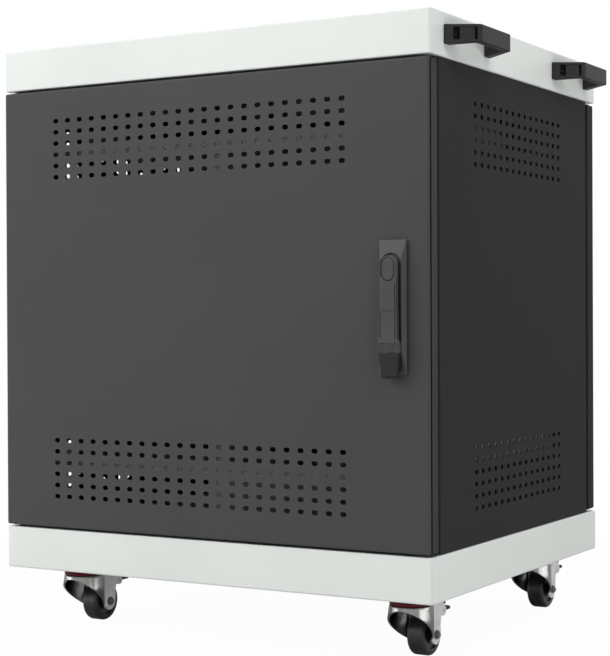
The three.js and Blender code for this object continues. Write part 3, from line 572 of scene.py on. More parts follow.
class Pattern(Graph):
    """A geometry node tree that works in rows and columns, run on a mesh to make a plain mesh."""

    GRID = {"Columns": "Int", "Rows": "Int", "Column Pitch": "Float", "Row Pitch": "Float"}

    def __init__(self, name, inputs):
        super().__init__(bpy.data.node_groups.new(name, "GeometryNodeTree"))
        self.inputs = {}
        labels = {"Mesh": "Geometry", **self.GRID, **inputs, "Finish": "Material"}
        for label, kind in labels.items():
            self.inputs[label] = self.tree.interface.new_socket(
                label, in_out="INPUT", socket_type=f"NodeSocket{kind}")
        self.tree.interface.new_socket("Mesh", in_out="OUTPUT", socket_type="NodeSocketGeometry")
        self.given = self.tree.nodes.new("NodeGroupInput")

    def take(self, label):
        return Value(self, self.given.outputs[label])

    def copies(self, instance):
        """Copies of a geometry on the points of the grid."""
        take = self.take
        grid = self.node("GeometryNodeMeshGrid", {}, {
            "Size X": (take("Columns") - 1) * take("Column Pitch"),
            "Size Y": (take("Rows") - 1) * take("Row Pitch"),
            "Vertices X": take("Columns"), "Vertices Y": take("Rows")})
        points = self.node("GeometryNodeMeshToPoints", {}, {"Mesh": grid})
        placed = self.node("GeometryNodeInstanceOnPoints", {}, {"Points": points, "Instance": instance})
        return self.node("GeometryNodeRealizeInstances", {}, {"Geometry": placed})

    def close(self, geometry):
        whole = self.node("GeometryNodeRealizeInstances", {}, {"Geometry": geometry})
        dressed = self.node("GeometryNodeSetMaterial", {}, {
            "Geometry": whole, "Material": self.take("Finish")})
        self.node("NodeGroupOutput", {}, {"Mesh": dressed})

    def run(self, mesh, finish, **settings):
        carrier = loose("carrier", mesh)
        modifier = carrier.modifiers.new("pattern", "NODES")
        modifier.node_group = self.tree
        modifier[self.inputs["Finish"].identifier] = finish
        for label, value in settings.items():
            modifier[self.inputs[label.replace("_", " ")].identifier] = value
        return settled(carrier)


def vent_punch_pattern():
    """Punches two fields of obround vents through a sheet."""
    pattern = Pattern("vent_punch", {
        "Punch Length": "Float", "Punch Height": "Float", "Depth": "Float",
        "Turn": "Rotation", "Upper Field": "Vector", "Lower Field": "Vector"})
    take = pattern.take
    slot = pattern.node("GeometryNodeCurvePrimitiveQuadrilateral", {"mode": "RECTANGLE"}, {
        "Width": take("Punch Length"), "Height": take("Punch Height")})
    rounded = pattern.node("GeometryNodeFilletCurve", {"mode": "POLY"}, {
        "Curve": slot, "Radius": take("Punch Height") * 0.499, "Count": 4})
    face = pattern.node("GeometryNodeFillCurve", {}, {"Curve": rounded})
    walls = pattern.node("GeometryNodeExtrudeMesh", {}, {
        "Mesh": face, "Offset Scale": take("Depth"), "Individual": False})
    floor = pattern.node("GeometryNodeFlipFaces", {}, {"Mesh": face})
    open_punch = pattern.node("GeometryNodeJoinGeometry", {}, {"Geometry": [walls, floor]})
    punch = pattern.node("GeometryNodeMergeByDistance", {}, {"Geometry": open_punch, "Distance": 0.001})
    centring = pattern.node("ShaderNodeCombineXYZ", {}, {"Z": take("Depth") * -0.5})
    punch = pattern.node("GeometryNodeTransform", {}, {"Geometry": punch, "Translation": centring})
    field = pattern.copies(punch)
    fields = [
        pattern.node("GeometryNodeTransform", {}, {
            "Geometry": field, "Rotation": take("Turn"), "Translation": take(place)})
        for place in ("Upper Field", "Lower Field")]
    boolean = {"operation": "DIFFERENCE", "solver": "MANIFOLD"}
    pattern.close(pattern.node("GeometryNodeMeshBoolean", boolean, {
        "Mesh 1": take("Mesh"), "Mesh 2": fields}))
    return pattern


def repeat_pattern():
    """Sets copies of a mesh out, centred on a place."""
    pattern = Pattern("repeat", {"Place": "Vector"})
    pattern.close(pattern.node("GeometryNodeTransform", {}, {
        "Geometry": pattern.copies(pattern.take("Mesh")), "Translation": pattern.take("Place")}))
    return pattern


VENT_PUNCH = vent_punch_pattern()
REPEAT = repeat_pattern()
FACING_Y = (math.pi / 2, 0.0, 0.0)
FACING_X = (math.pi / 2, 0.0, math.pi / 2)


def punched(sheet, columns, turn_to, across, finish):
    """A sheet with an upper and a lower vent field, across being its (x, y) middle."""
    middle = centre("front_door").z
    return VENT_PUNCH.run(
        sheet, finish, Columns=columns, Rows=FIELD_ROWS, Column_Pitch=PUNCH_PITCH,
        Row_Pitch=PUNCH_ROW_PITCH, Punch_Length=PUNCH_LENGTH, Punch_Height=PUNCH_HEIGHT,
        Depth=PUNCH_DEPTH, Turn=turn_to,
        Upper_Field=(*across, middle + FIELD_FROM_MIDDLE),
        Lower_Field=(*across, middle - FIELD_FROM_MIDDLE))


def repeated(mesh, finish, place, columns=1, rows=1, column_pitch=1.0, row_pitch=1.0):
    return REPEAT.run(
        mesh, finish, Columns=columns, Rows=rows, Column_Pitch=column_pitch, Row_Pitch=row_pitch,
        Place=place)


# Folded sheet metal

PANEL_FLANGE = 18.0
PANEL_SETBACK = 1.6
OPENING_WIDTH = 68.0
OPENING_FRONT = -130.0
OPENING_REAR = 130.0
OPENING_CORNER = 14
OPENING_OVERRUN = 5
OPENING_CUT = 10
GUARD_HEIGHT = 28.0
GUARD_FRONT = OPENING_FRONT - 42
GUARD_REAR = OPENING_REAR - 16
GUARD_CORNER = 8
INLET_LIP = 4.6
INLET_CUT = 12.0
INLET_OVERRUN = 4.0


def pan_profile(depth, fold, flange, reveal):
    """(inset, depth) points from the middle of a pan's inside, round its rim, to the middle of its face.

    A reveal is the shadow line behind a face that laps over its own return.
    """
    inner = max(fold - SHEET, LEAST_FOLD)
    step = REVEAL_DEPTH if reveal else 0.0
    end = REVEAL_START + REVEAL_WIDTH
    profile = [(step + SHEET + inner - i, SHEET + inner - d) for i, d in reversed(quarter(inner))]
    if reveal:
        profile += [(step + SHEET, end + SHEET), (SHEET, end + SHEET)]
    profile += [(SHEET + inner - i, depth - SHEET - inner + d) for i, d in quarter(inner)]
    profile += [(flange, depth - SHEET), (flange, depth)]
    profile += [(RIM_FOLD - i, depth - RIM_FOLD + d) for i, d in reversed(quarter(RIM_FOLD))]
    if reveal:
        profile += [(0, end), (step, end), (step, REVEAL_START), (0, REVEAL_START)]
    return profile + [(fold - i, fold - d) for i, d in quarter(fold)]


def folded_pan(node, axis, facing, corner, fold, flange, reveal=False):
    """A pan that fills a node's box: its profile swept round a rounded rectangle.

    Its face is at the end of the axis that facing, 1 or -1, points to.
    """
    low, high = span(node)
    middle = (low + high) / 2
    half = (high - low) / 2
    w = "XYZ".index(axis)
    v = 3 - w
    rings = []
    for inset, depth in pan_profile(high[w] - low[w], fold, flange, reveal):
        loop = rounded_loop(half.x - inset, half[v] - inset, max(corner - inset, LEAST_CORNER))
        level = high[w] - depth if facing > 0 else low[w] + depth
        rings.append([AXES[axis](middle.x + a, middle[v] + b, level) for a, b in loop])
    return skin(rings)


def channel_outline(first, last, face, turned_in):
    """A flat-bottomed U: its web at face between first and last, its flanges reaching to turned_in."""
    inner = FOLD - SHEET
    inside = face + math.copysign(SHEET, turned_in - face)
    return filleted([
        (face, first, FOLD), (face, last, FOLD), (turned_in, last, 0), (turned_in, last - SHEET, 0),
        (inside, last - SHEET, inner), (inside, first + SHEET, inner),
        (turned_in, first + SHEET, 0), (turned_in, first, 0)])


def side_panel(node, side):
    low, high = span(node)
    face = high.x if side > 0 else low.x
    outline = channel_outline(low.y + PANEL_SETBACK, high.y, face, face - side * PANEL_FLANGE)
    sheet = prism(outline, low.z, high.z, "Z")
    # The side panel takes the darker charcoal copy, painted shade.
    vented = punched(sheet, SIDE_COLUMNS, FACING_X, (face, (low.y + high.y) / 2), CHARCOAL_PAINTED_SHADE)
    piece(node + "_sheet", vented, CHARCOAL_PAINTED_SHADE, CABINET, node)


def cable_opening(low, high, side):
    """Cutter for the opening along a side of the upper deck, where the leads go down to the racks."""
    edge = high.x if side > 0 else low.x
    outer = edge + side * OPENING_OVERRUN
    inner = edge - side * OPENING_WIDTH
    outline = filleted([
        (outer, OPENING_FRONT, 0), (outer, OPENING_REAR, 0),
        (inner, OPENING_REAR, OPENING_CORNER), (inner, OPENING_FRONT, OPENING_CORNER)])
    return prism(outline, high.z - OPENING_CUT, high.z + OPENING_OVERRUN, "Z")


def opening_guard(low, high, side):
    """The flap of the opening, turned up along its inner edge."""
    edge = (high.x if side > 0 else low.x) - side * OPENING_WIDTH
    flap = filleted([
        (GUARD_FRONT, high.z - SHEET, 0), (GUARD_REAR, high.z - SHEET, 0),
        (GUARD_REAR, high.z + GUARD_HEIGHT, GUARD_CORNER),
        (GUARD_FRONT, high.z + GUARD_HEIGHT, GUARD_CORNER)])
    first, last = sorted((edge, edge - side * SHEET))
    return soften(prism(flap, first, last, "X"), 0.4, 2, 60)


def deck(node):
    low, high = span(node)
    outline = [(v, w) for w, v in channel_outline(low.y, high.y, high.z, low.z)]
    sheet = prism(outline, low.x, high.x, "X")
    if node == "upper_deck":
        sheet = cut(sheet, *[cable_opening(low, high, side) for side in SIDES])
        sheet = joined([sheet] + [opening_guard(low, high, side) for side in SIDES])
    piece(node + "_sheet", sheet, LIGHT_GREY, CABINET, node)


def sheet_metal():
    cap = folded_pan("top_cover", "Z", 1, CAP_CORNER, CAP_FOLD, RIM_FLANGE)
    piece("cap_shell", cap, LIGHT_GREY, CABINET, "top_cover")
    tray = folded_pan("base_tray", "Z", -1, CAP_CORNER, CAP_FOLD, RIM_FLANGE)
    low, high = span("mains_inlet")
    opening = rectangle(low.x + INLET_LIP, low.z + INLET_LIP, high.x - INLET_LIP, high.z - INLET_LIP)
    hole = prism(opening, high.y - INLET_CUT, high.y + INLET_OVERRUN, "Y")
    piece("base_shell", cut(tray, hole), LIGHT_GREY, CABINET, "base_tray")
    leaf = folded_pan("front_door", "Y", -1, DOOR_CORNER, FOLD, DOOR_RETURN, reveal=True)
    field = (FRONT_FIELD_SHIFT, span("front_door")[0].y)
    leaf = punched(leaf, FRONT_COLUMNS, FACING_Y, field, CHARCOAL_LIT_COPY)
    piece("front_door_leaf", leaf, CHARCOAL_LIT_COPY, "front_door", "front_door")
    leaf = folded_pan("rear_door", "Y", 1, DOOR_CORNER, FOLD, DOOR_RETURN)
    # The rear door takes the darker charcoal copy, painted shade.
    piece("rear_door_leaf", leaf, CHARCOAL_PAINTED_SHADE, "rear_door", "rear_door")
    side_panel("right_side_panel", 1)
    side_panel("left_side_panel", -1)
    deck("lower_deck")
    deck("upper_deck")


# Swing-handle lock: places are (x, out, z) from where the spindle's axis meets the door's face

LOCK = Vector((centre("lock_spindle").x, span("front_door")[0].y, centre("lock_spindle").z))
LEVER_FRONT = LOCK.y - span("lock_lever")[0].y
LEVER_BACK = LOCK.y - span("lock_lever")[1].y
LEVER_TIP = span("lock_lever")[0].z - LOCK.z
LEVER_WIDTH = 20.0
LEVER_HEAD = 3.5
LEVER_TOP = LEVER_HEAD + LEVER_WIDTH / 2
LEVER_FLANK = 2.0
LEVER_RIGHT_FLANK = 0.3
LEVER_EDGE = 1.5
LEVER_SEAM = -48.0
SEAM_DEPTH = 0.7
SEAM_EDGE = (0.25, 0.7)
FLANK_FADE = (0.2, 5.0)
LEAST_HALF = 0.5
HEEL_HEIGHT, HEEL_DEPTH, HEEL_CLEAR = 5, 3.4, 1
LINE_LEFT, LINE_RIGHT, LINE_TOP, LINE_DEPTH = 8.0, 9.0, -17.0, 2.4
LEVER_STEP = 0.55
LEVER_STRIPS = 14
HEAD_CHAMFER = 3.4
HEAD_ROUND = 2.4
HEAD_FADE = (-16.0, -6.0)
GRIP_TOP = -85.0
GRIP_SPLIT = -93.4
GRIP_WIDTH = 26.0
GRIP_TIP_WIDTH = 19.0
GRIP_TIP_CORNER = 4.0
GRIP_RIDGES = 4
GRIP_RIDGE_PITCH = 2.2
GRIP_RIDGE_DEPTH = 0.65
GRIP_WAVE, GRIP_WAVE_HALF = 0.8, 9.0
GRIP_SUNK = 0.5
GRIP_SLOPE = 1.6
GRIP_TIP_ROUND, GRIP_TIP_LENGTH = 1.8, 3.0
NOTCH_HALF, NOTCH_LOW, NOTCH_HIGH, NOTCH_DEPTH = 1.1, 1.8, 3.4, 4.5
GROOVE_X = -9.7
GROOVE_HALF = 0.7
GROOVE_FOOT = -72.0
GROOVE_TURN = ((-4.2, -74.0), 5.5, 180, 235, 6)
GROOVE_DEPTH = 1.6
BUTTON_GAP = 0.9
BUTTON_WELL = 5.8
BUTTON_RISE = 2.4
BUTTON_DOME = [(0, 0), (0, 1.9), (0.25, 2.15), (0.7, 2.3), (1.6, 2.38), (3.0, BUTTON_RISE)]
HOUSING_FRONT_WIDTH = 27.0
HOUSING_TOP_SLOPE = 21.0
HOUSING_BOTTOM_SLOPE = 24.0
HOUSING_CORNER = 1.6
HOUSING_CORNER_GROWTH = 1.4
SHADOW_GAP = 2.8
SHADOW_INSET = 3.0
SPINDLE_PLAY = 0.3
MOAT_WIDTH = 2.9
MOAT_DEPTH = 5.0
MOAT_FOOT = 6
FINGER_WELL_HALF = 12.4
FINGER_WELL_DEPTH = 6.4
FINGER_WELL_FOOT = 3
FINGER_WELL_TOP = 8
FINGER_WELL_CORNER = 3
CUT_CLEAR = 3


def on_door(mesh):
    """Brings a mesh from the lock's (x, out, z) places to the door."""
    return mirrored(mesh, Matrix.Translation(LOCK) @ Matrix.Diagonal((1, -1, 1, 1)))


def lock_cut(outline, depth, clear=2):
    """Cutter into the lever's front."""
    return prism(outline, LEVER_FRONT - depth, LEVER_FRONT + clear, "Y")


def housing_mesh():
    low, high = span("lock_housing")
    rise = LOCK.y - low.y
    foot = (low.z - LOCK.z, high.z - LOCK.z)
    front = (foot[0] + HOUSING_BOTTOM_SLOPE, foot[1] - HOUSING_TOP_SLOPE)
    foot_half = half_size("lock_housing")[0]
    front_half = HOUSING_FRONT_WIDTH / 2
    foot_out = SHADOW_GAP + 0.8
    # Share of the way from foot to front, distance out, and inset of the undercut foot
    flank = [(0, 0.3, SHADOW_INSET), (0, SHADOW_GAP, SHADOW_INSET), (0, SHADOW_GAP, 0.3)]
    flank += [(0, SHADOW_GAP + 0.3, 0), (0.02, SHADOW_GAP + 0.5, 0), (0.06, foot_out, 0)]
    flank += [(0.06 + 0.86 * k / 6, foot_out + (rise - 0.8 - foot_out) * k / 6, 0) for k in range(1, 7)]
    flank += [(0.955, rise - 0.45, 0), (0.985, rise - 0.15, 0), (1.03, rise, 0)]
    rings = []
    for share, out, inset in flank:
        bottom = foot[0] + (front[0] - foot[0]) * share
        top = foot[1] + (front[1] - foot[1]) * share
        half = foot_half + (front_half - foot_half) * share
        corner = HOUSING_CORNER + HOUSING_CORNER_GROWTH * share
        loop = rounded_loop(half - inset, (top - bottom) / 2 - inset, corner)
        rings.append([(u, out, v + (top + bottom) / 2) for u, v in loop])
    bore = turned(rod(half_size("lock_spindle")[0] + SPINDLE_PLAY, -1, rise + 2), "Y", 40)
    half = MOAT_WIDTH + LEVER_WIDTH / 2
    moat_foot = front[0] + MOAT_FOOT
    around = arc((0, LEVER_HEAD), half, 0, 180, 20) + [(-half, moat_foot), (half, moat_foot)]
    moat = prism(around, rise - MOAT_DEPTH, rise + CUT_CLEAR, "Y")
    well = rectangle(-FINGER_WELL_HALF, foot[0] + FINGER_WELL_FOOT,
                     FINGER_WELL_HALF, front[0] + FINGER_WELL_TOP)
    well = filleted([(u, v, FINGER_WELL_CORNER) for u, v in well])
    finger_well = prism(well, rise - FINGER_WELL_DEPTH, rise + CUT_CLEAR, "Y")
    return cut(skin(rings), bore, moat, soften(finger_well, 0.8, 2, 50))


def lever_half_width(z, flank):
    """Half the lever's width at a height; below the seam a flank widens it on one side."""
    head = LEVER_WIDTH / 2
    if z > LEVER_HEAD:
        return math.sqrt(max(0.0, head ** 2 - (z - LEVER_HEAD) ** 2))
    grip = GRIP_WIDTH / 2
    ridges = GRIP_RIDGES * GRIP_RIDGE_PITCH
    if z > GRIP_TOP - ridges:
        waist = head + flank * smooth(LEVER_SEAM - z, *FLANK_FADE)
        return grip + (waist - grip) * smooth(z, GRIP_TOP, GRIP_TOP + ridges)
    share = (z - LEVER_TIP) / (GRIP_TOP - ridges - LEVER_TIP)
    width = GRIP_TIP_WIDTH / 2 + (grip - GRIP_TIP_WIDTH / 2) * share
    corner = GRIP_TIP_CORNER
    if z < LEVER_TIP + corner:
        width -= corner - math.sqrt(max(0.0, corner ** 2 - (LEVER_TIP + corner - z) ** 2))
    return width


def lever_mesh(low, high, relief):
    """A stretch of the lever as cross-sections along z, its front raised or sunk by relief(u, z)."""
    thick = (LEVER_FRONT - LEVER_BACK) / 2
    rings = []
    for z in stations(low, high, LEVER_STEP):
        left = max(lever_half_width(z, LEVER_FLANK), LEAST_HALF)
        right = max(lever_half_width(z, LEVER_RIGHT_FLANK), LEAST_HALF)
        half = (left + right) / 2
        edge = min(LEVER_EDGE, half * 0.8)
        loop = rounded_loop(half, thick, edge)
        corner = len(loop) // 4
        flat = half - edge
        top = [(flat - 2 * flat * k / LEVER_STRIPS, thick) for k in range(1, LEVER_STRIPS)]
        ring = []
        for u, v in loop[:corner] + top + loop[corner:]:
            x = u + (right - left) / 2
            lift = relief(x, z) * max(0.0, v / thick)
            ring.append((x, LEVER_BACK + thick + v + lift, z))
        rings.append(ring)
    return skin(rings)


def shank_relief(x, z):
    seam = -SEAM_DEPTH * (1 - smooth(abs(z - LEVER_SEAM), *SEAM_EDGE))
    rim = LEVER_WIDTH / 2 - math.hypot(x, max(0.0, z - LEVER_HEAD))
    rounded = -HEAD_CHAMFER * (1 - smooth(rim, 0.0, HEAD_ROUND)) * smooth(z, *HEAD_FADE)
    waves = 0.0
    if z < GRIP_TOP + 2:
        swing = GRIP_WAVE * math.sin(math.pi * x / GRIP_WAVE_HALF)
        wave = math.cos(math.tau * (z - GRIP_TOP + swing) / GRIP_RIDGE_PITCH)
        waves = -GRIP_RIDGE_DEPTH + GRIP_RIDGE_DEPTH * wave
    return seam + rounded + waves


def grip_relief(x, z):
    slope = GRIP_SLOPE * smooth(-z, -GRIP_SPLIT, -LEVER_TIP)
    return -GRIP_SUNK - slope - GRIP_TIP_ROUND * smooth(-z, -LEVER_TIP - GRIP_TIP_LENGTH, -LEVER_TIP)


def oval(width, height, z):
    straight = (height - width) / 2
    upper = arc((0, z + straight), width / 2, 0, 180, 10)
    return upper + arc((0, z - straight), width / 2, 180, 360, 10)


def groove_outline():
    """A fine slot down the left of the shank that turns in at its foot."""
    path = [(GROOVE_X, LEVER_SEAM - 1.0), (GROOVE_X, GROOVE_FOOT)] + arc(*GROOVE_TURN)
    return [(x - GROOVE_HALF, z) for x, z in path] + [(x + GROOVE_HALF, z) for x, z in reversed(path)]


def door_lock():
    piece("lock_body", on_door(housing_mesh()), LOCK_GREY, "front_door", "lock_housing", 25)

    low, high = span("lock_button")
    width = high.x - low.x
    height = high.z - low.z
    middle = (high.z + low.z) / 2 - LOCK.z
    shank = lever_mesh(GRIP_SPLIT, LEVER_TOP - 0.02, shank_relief)
    pocket = lock_cut(oval(width + 2 * BUTTON_GAP, height + 2 * BUTTON_GAP, middle), BUTTON_WELL)
    groove = lock_cut(groove_outline(), GROOVE_DEPTH)
    line = lock_cut(rectangle(LINE_LEFT, GRIP_TOP + 2, LINE_RIGHT, LINE_TOP), LINE_DEPTH)
    heel = prism([
        (LEVER_BACK - HEEL_CLEAR, LEVER_TOP - HEEL_HEIGHT), (LEVER_BACK, LEVER_TOP - HEEL_HEIGHT),
        (LEVER_BACK + HEEL_DEPTH, LEVER_TOP + HEEL_CLEAR),
        (LEVER_BACK - HEEL_CLEAR, LEVER_TOP + HEEL_CLEAR)],
        -LEVER_WIDTH, LEVER_WIDTH, "X")
    shank = cut(shank, pocket, groove, line, heel)
    piece("lever_shank", on_door(shank), LOCK_GREY, "lock_lever", "lock_lever", 28)
    grip = lever_mesh(LEVER_TIP, GRIP_SPLIT - 0.25, grip_relief)
    notch = rectangle(-NOTCH_HALF, LEVER_TIP + NOTCH_LOW, NOTCH_HALF, LEVER_TIP + NOTCH_HIGH)
    notch = lock_cut(notch, NOTCH_DEPTH, clear=0)
    piece("lever_grip", on_door(cut(grip, notch)), GRIP_BLACK, "lock_lever", None, 28, "lock_plastic")

    rings = []
    for inset, out in BUTTON_DOME:
        loop = oval(width - 2 * inset, height - 2 * inset, middle)
        rings.append([(u, LEVER_FRONT - BUTTON_RISE + out, v) for u, v in loop])
    piece("lever_button", on_door(skin(rings)), LOCK_GREY, "lock_button", "lock_button", 25)


# Bow handles

HANDLE_GRIP_LENGTH = 83.5
HANDLE_GRIP_THICKNESS = 10.0
HANDLE_FOOT = 14.0
HANDLE_EDGE = 2.0
HANDLE_BEND, HANDLE_INNER_BEND = 7, 6
HANDLE_FOOT_CORNER, HANDLE_INNER_CORNER = 1.5, 1.0
HANDLE_RISE_FROM, HANDLE_RISE_END = 3.0, 10.0
HANDLE_ROOT_RISE = 3.2
HANDLE_ARCH_RISE = 2.2
POCKET_HEIGHT = 15.6
POCKET_FROM = 10.5
POCKET_TO = 39.2
POCKET_DEPTH = 1.1
POCKET_DRAFT = 0.6
POCKET_OVERRUN = 4
WELL_TO = 19.0
WELL_DEPTH = 9.5
SLOT_FROM = 34.6
SLOT_DEPTH = 7.0
INNER_STEP = 0.5
INNER_INSET = 0.7
HANDLE_SCREW = (3.2, 1.8)


def screw_head(radius, height):
    """A pan head with a hexagon socket, seated at z = 0."""
    angles = [math.radians(a) for a in range(0, 90, 15)]
    crown = [(radius * math.cos(a), height * math.sin(a)) for a in angles]
    head = turned([(0, -0.6 * height), (radius, -0.6 * height)] + crown + [(0, height)], "Z", 18)
    return cut(head, prism(hexagon(radius * 0.5), height * 0.25, height * 2, "Z"))


def bow_handle(corner):
    """Drawn reaching to +X from the wall at x = 0, then turned to its side."""
    low, high = span(f"bow_handle_{corner}")
    side = 1 if low.x > 0 else -1
    reach = high.x - low.x
    foot = half_size(f"bow_handle_{corner}")[1]
    grip = HANDLE_GRIP_LENGTH / 2
    tall = high.z - low.z
    slant = (foot - grip) / reach
    inside = reach - HANDLE_GRIP_THICKNESS
    inside_half = foot - inside * slant - HANDLE_FOOT
    bow = filleted([
        (0, -foot, HANDLE_FOOT_CORNER), (reach, -grip, HANDLE_BEND),
        (reach, grip, HANDLE_BEND), (0, foot, HANDLE_FOOT_CORNER),
        (0, foot - HANDLE_FOOT, HANDLE_INNER_CORNER), (inside, inside_half, HANDLE_INNER_BEND),
        (inside, -inside_half, HANDLE_INNER_BEND), (0, HANDLE_FOOT - foot, HANDLE_INNER_CORNER)],
        steps=7)
    mesh = soften(prism(bow, -tall / 2, tall / 2, "Z"), HANDLE_EDGE, 4, 60)
    for vertex in mesh.verts:
        arch = smooth(vertex.co.x, HANDLE_RISE_FROM, reach - HANDLE_RISE_END)
        rise = HANDLE_ROOT_RISE + HANDLE_ARCH_RISE * arch
        vertex.co.z = tall / 2 - (tall / 2 - vertex.co.z) * (1 - rise / tall)
    level = (HANDLE_ROOT_RISE + HANDLE_ARCH_RISE * 0.6) / 2
    along = Vector((reach, grip - foot)).normalized()

    def on_leg(end, distance, depth):
        x = along.x * distance + along.y * depth
        return (x, end * (foot + along.y * distance - along.x * depth))

    def trough(end, first, last, depth, inset):
        outline = [
            on_leg(end, first, -POCKET_OVERRUN), on_leg(end, last, -POCKET_OVERRUN),
            on_leg(end, last - POCKET_DRAFT, depth), on_leg(end, first + POCKET_DRAFT, depth)]
        height = POCKET_HEIGHT / 2 - inset
        return soften(prism(outline, level - height, level + height, "Z"), 1.2, 3, 40)

    pockets = []
    for end in SIDES:
        pockets.append(trough(end, POCKET_FROM, POCKET_TO, POCKET_DEPTH, 0.0))
        pockets.append(trough(end, POCKET_FROM + INNER_STEP, WELL_TO, WELL_DEPTH, INNER_INSET))
        pockets.append(trough(end, SLOT_FROM, POCKET_TO - INNER_STEP, SLOT_DEPTH, INNER_INSET))
    wall = low.x if side > 0 else high.x
    place = Matrix.Translation((wall, (low.y + high.y) / 2, (low.z + high.z) / 2))
    place = place @ Matrix.Rotation(0 if side > 0 else math.pi, 4, "Z")
    bow = turn(cut(mesh, *pockets), place)
    piece(f"bow_grip_{corner}", bow, HANDLE_BLACK, CABINET, f"bow_handle_{corner}", 30)
    heads = []
    for end in SIDES:
        seat = Vector((*on_leg(end, (POCKET_FROM + WELL_TO) / 2 + 0.2, WELL_DEPTH), level))
        facing = Vector((-along.y, end * along.x, 0)).to_track_quat("Z", "X").to_matrix().to_4x4()
        heads.append(turn(screw_head(*HANDLE_SCREW), place @ Matrix.Translation(seat) @ facing))
    # The screws take a near-black colour, painted shade in their wells.
    piece(f"handle_screws_{corner}", joined(heads), SCREW_PAINTED_SHADE, CABINET, sharp=30)


# Casters: drawn round the swivel's axis at the underside of the base, trailing to +Y

TRAIL = 35.0
BELL_RADIUS = 27.0
BELL_RIM = 1.2
BELL_TAPER = 2.3
TAPER_HEIGHT = 18.0
TAPER_FADE = (2.0, 15.0)
FRONT_DROP = 4.0
FRONT_OVERRUN = 1.0
FORK_GAUGE = 2.5
FORK_OUTSIDE = 16.0
FORK_CREASE = 3.0
FORK_ROWS = 8
LEG_RADIUS = 11.5
LEG_SHOULDER = 11.5
EAR_RADIUS = 6.0
EAR_Y = 56.0
EAR_Z = -29.0
EAR_FRONT = EAR_Y - EAR_RADIUS
KING_PIN_RADIUS = 5.0
AXLE_ROD = (2.7, 2.0, 0.8)
NUT_RADIUS = 4.9
NUT_SETBACK = 1.6
WASHER_RADIUS = 5.6
WASHER_BORE = 2.8
WASHER_GAUGE = 0.9
PLATE_GAUGE = 2.5
PLATE_CORNER = 6
PLATE_BOLT = (5.0, 3.2)
PLATE_BOLT_PITCH = 46.0
SEAL_GAP = 0.3
SEAL_BORE = 9
SEAL_LIP = 1.6
WHEEL_RADIUS = 25.0
WHEEL_SHOULDER = 4.8
PEDAL_PIN = (2.2, 1.7, 0.5)
PEDAL_THIN = 2.0
PEDAL_GAP = 0.6
PEDAL_RIDGES = 5
PEDAL_RIDGE_PITCH = 2.6
PEDAL_RIDGE_INSET = 2.5
PEDAL_RIDGES_Y = 15.6
RIDGE_SUNK = 0.15


def chamfered_rod(radius, end_radius, chamfer, half, sides):
    """A rod along x, centred on the origin."""
    return turned(both_ends([(0, half), (end_radius, half), (radius, half - chamfer)]), "X", sides)


def half_chord(radius, along):
    return math.sqrt(max(0.0, radius ** 2 - along ** 2))


def cheek_low(y, bell_top, axle_z):
    """The cheek's lower edge: straight from the bell's front to the leg's round end, then to the ear."""
    front = Vector((-BELL_RADIUS - FRONT_OVERRUN, bell_top - FRONT_DROP))
    to_axle = Vector((TRAIL, axle_z)) - front
    fall = math.atan2(to_axle.y, to_axle.x) - math.asin(LEG_RADIUS / to_axle.length)
    touch = TRAIL + LEG_RADIUS * math.sin(fall)
    leg_rear = TRAIL + LEG_RADIUS
    if y <= touch:
        return front.y + (y - front.x) * math.tan(fall)
    if y <= leg_rear:
        return axle_z - half_chord(LEG_RADIUS, y - TRAIL)
    if y < EAR_FRONT:
        share = (y - leg_rear) / (EAR_FRONT - leg_rear)
        return (axle_z + LEG_SHOULDER) * (1 - share) + (EAR_Z - EAR_RADIUS * 0.6) * share
    return EAR_Z - half_chord(EAR_RADIUS, y - EAR_Y)


def cheek_high(y, bell_top):
    if y <= EAR_FRONT:
        return bell_top
    crest = EAR_Z + half_chord(EAR_RADIUS, y - EAR_Y)
    share = (y - EAR_FRONT) / (2 * EAR_RADIUS)
    return crest + (bell_top - crest) * (1 - smooth(share, 0.0, 0.7))


def fork_plan():
    """The right leg's plan from its ear forward, and half the bell's from the crease round to the front."""
    leg_front = TRAIL - LEG_RADIUS
    ys = [EAR_Y + EAR_RADIUS * math.cos(math.radians(a)) for a in range(0, 181, 15)]
    ys += [TRAIL + LEG_RADIUS + 0.02]
    ys += [TRAIL + LEG_RADIUS * math.cos(math.radians(a)) for a in range(0, 181, 10)]
    aside = FORK_OUTSIDE + FORK_CREASE
    crease_y = math.sqrt((BELL_RADIUS + FORK_CREASE) ** 2 - aside ** 2)
    ys += [leg_front - 0.02, (leg_front + crease_y) / 2]
    leg = [(FORK_OUTSIDE, y) for y in ys if y > crease_y]
    meets = math.degrees(math.atan2(crease_y, aside))
    wrap = arc((aside, crease_y), FORK_CREASE, 180, 180 + meets, 6)
    wrap += arc((0, 0), BELL_RADIUS, meets, -90, 24)[1:]
    return leg, wrap


def fork_wall(plan, bell_top, axle_z):
    """Pressed sheet standing on a plan, between the cheek's lower and upper edges."""
    columns = []
    for x, y in plan:
        low = cheek_low(y, bell_top, axle_z)
        on_bell = math.hypot(x, y) < BELL_RADIUS + 0.5
        high = bell_top - BELL_RIM + 0.2 if on_bell else cheek_high(y, bell_top)
        draft = BELL_TAPER * (1 - smooth(y, *TAPER_FADE)) if on_bell else 0.0
        column = []
        for k in range(FORK_ROWS + 1):
            z = low + (max(high, low + 0.2) - low) * k / FORK_ROWS
            scale = 1 - draft * max(0.0, 1 - (bell_top - z) / TAPER_HEIGHT) / BELL_RADIUS
            column.append((x * scale, y * scale, z))
        columns.append(column)
    blank = loose("fork", skin(columns, closed=False, capped=False))
    thick = blank.modifiers.new("gauge", "SOLIDIFY")
    thick.thickness = FORK_GAUGE
    thick.offset = -1.0
    thick.use_even_offset = True
    return soften(face_out(settled(blank)), 0.35, 2, 50)


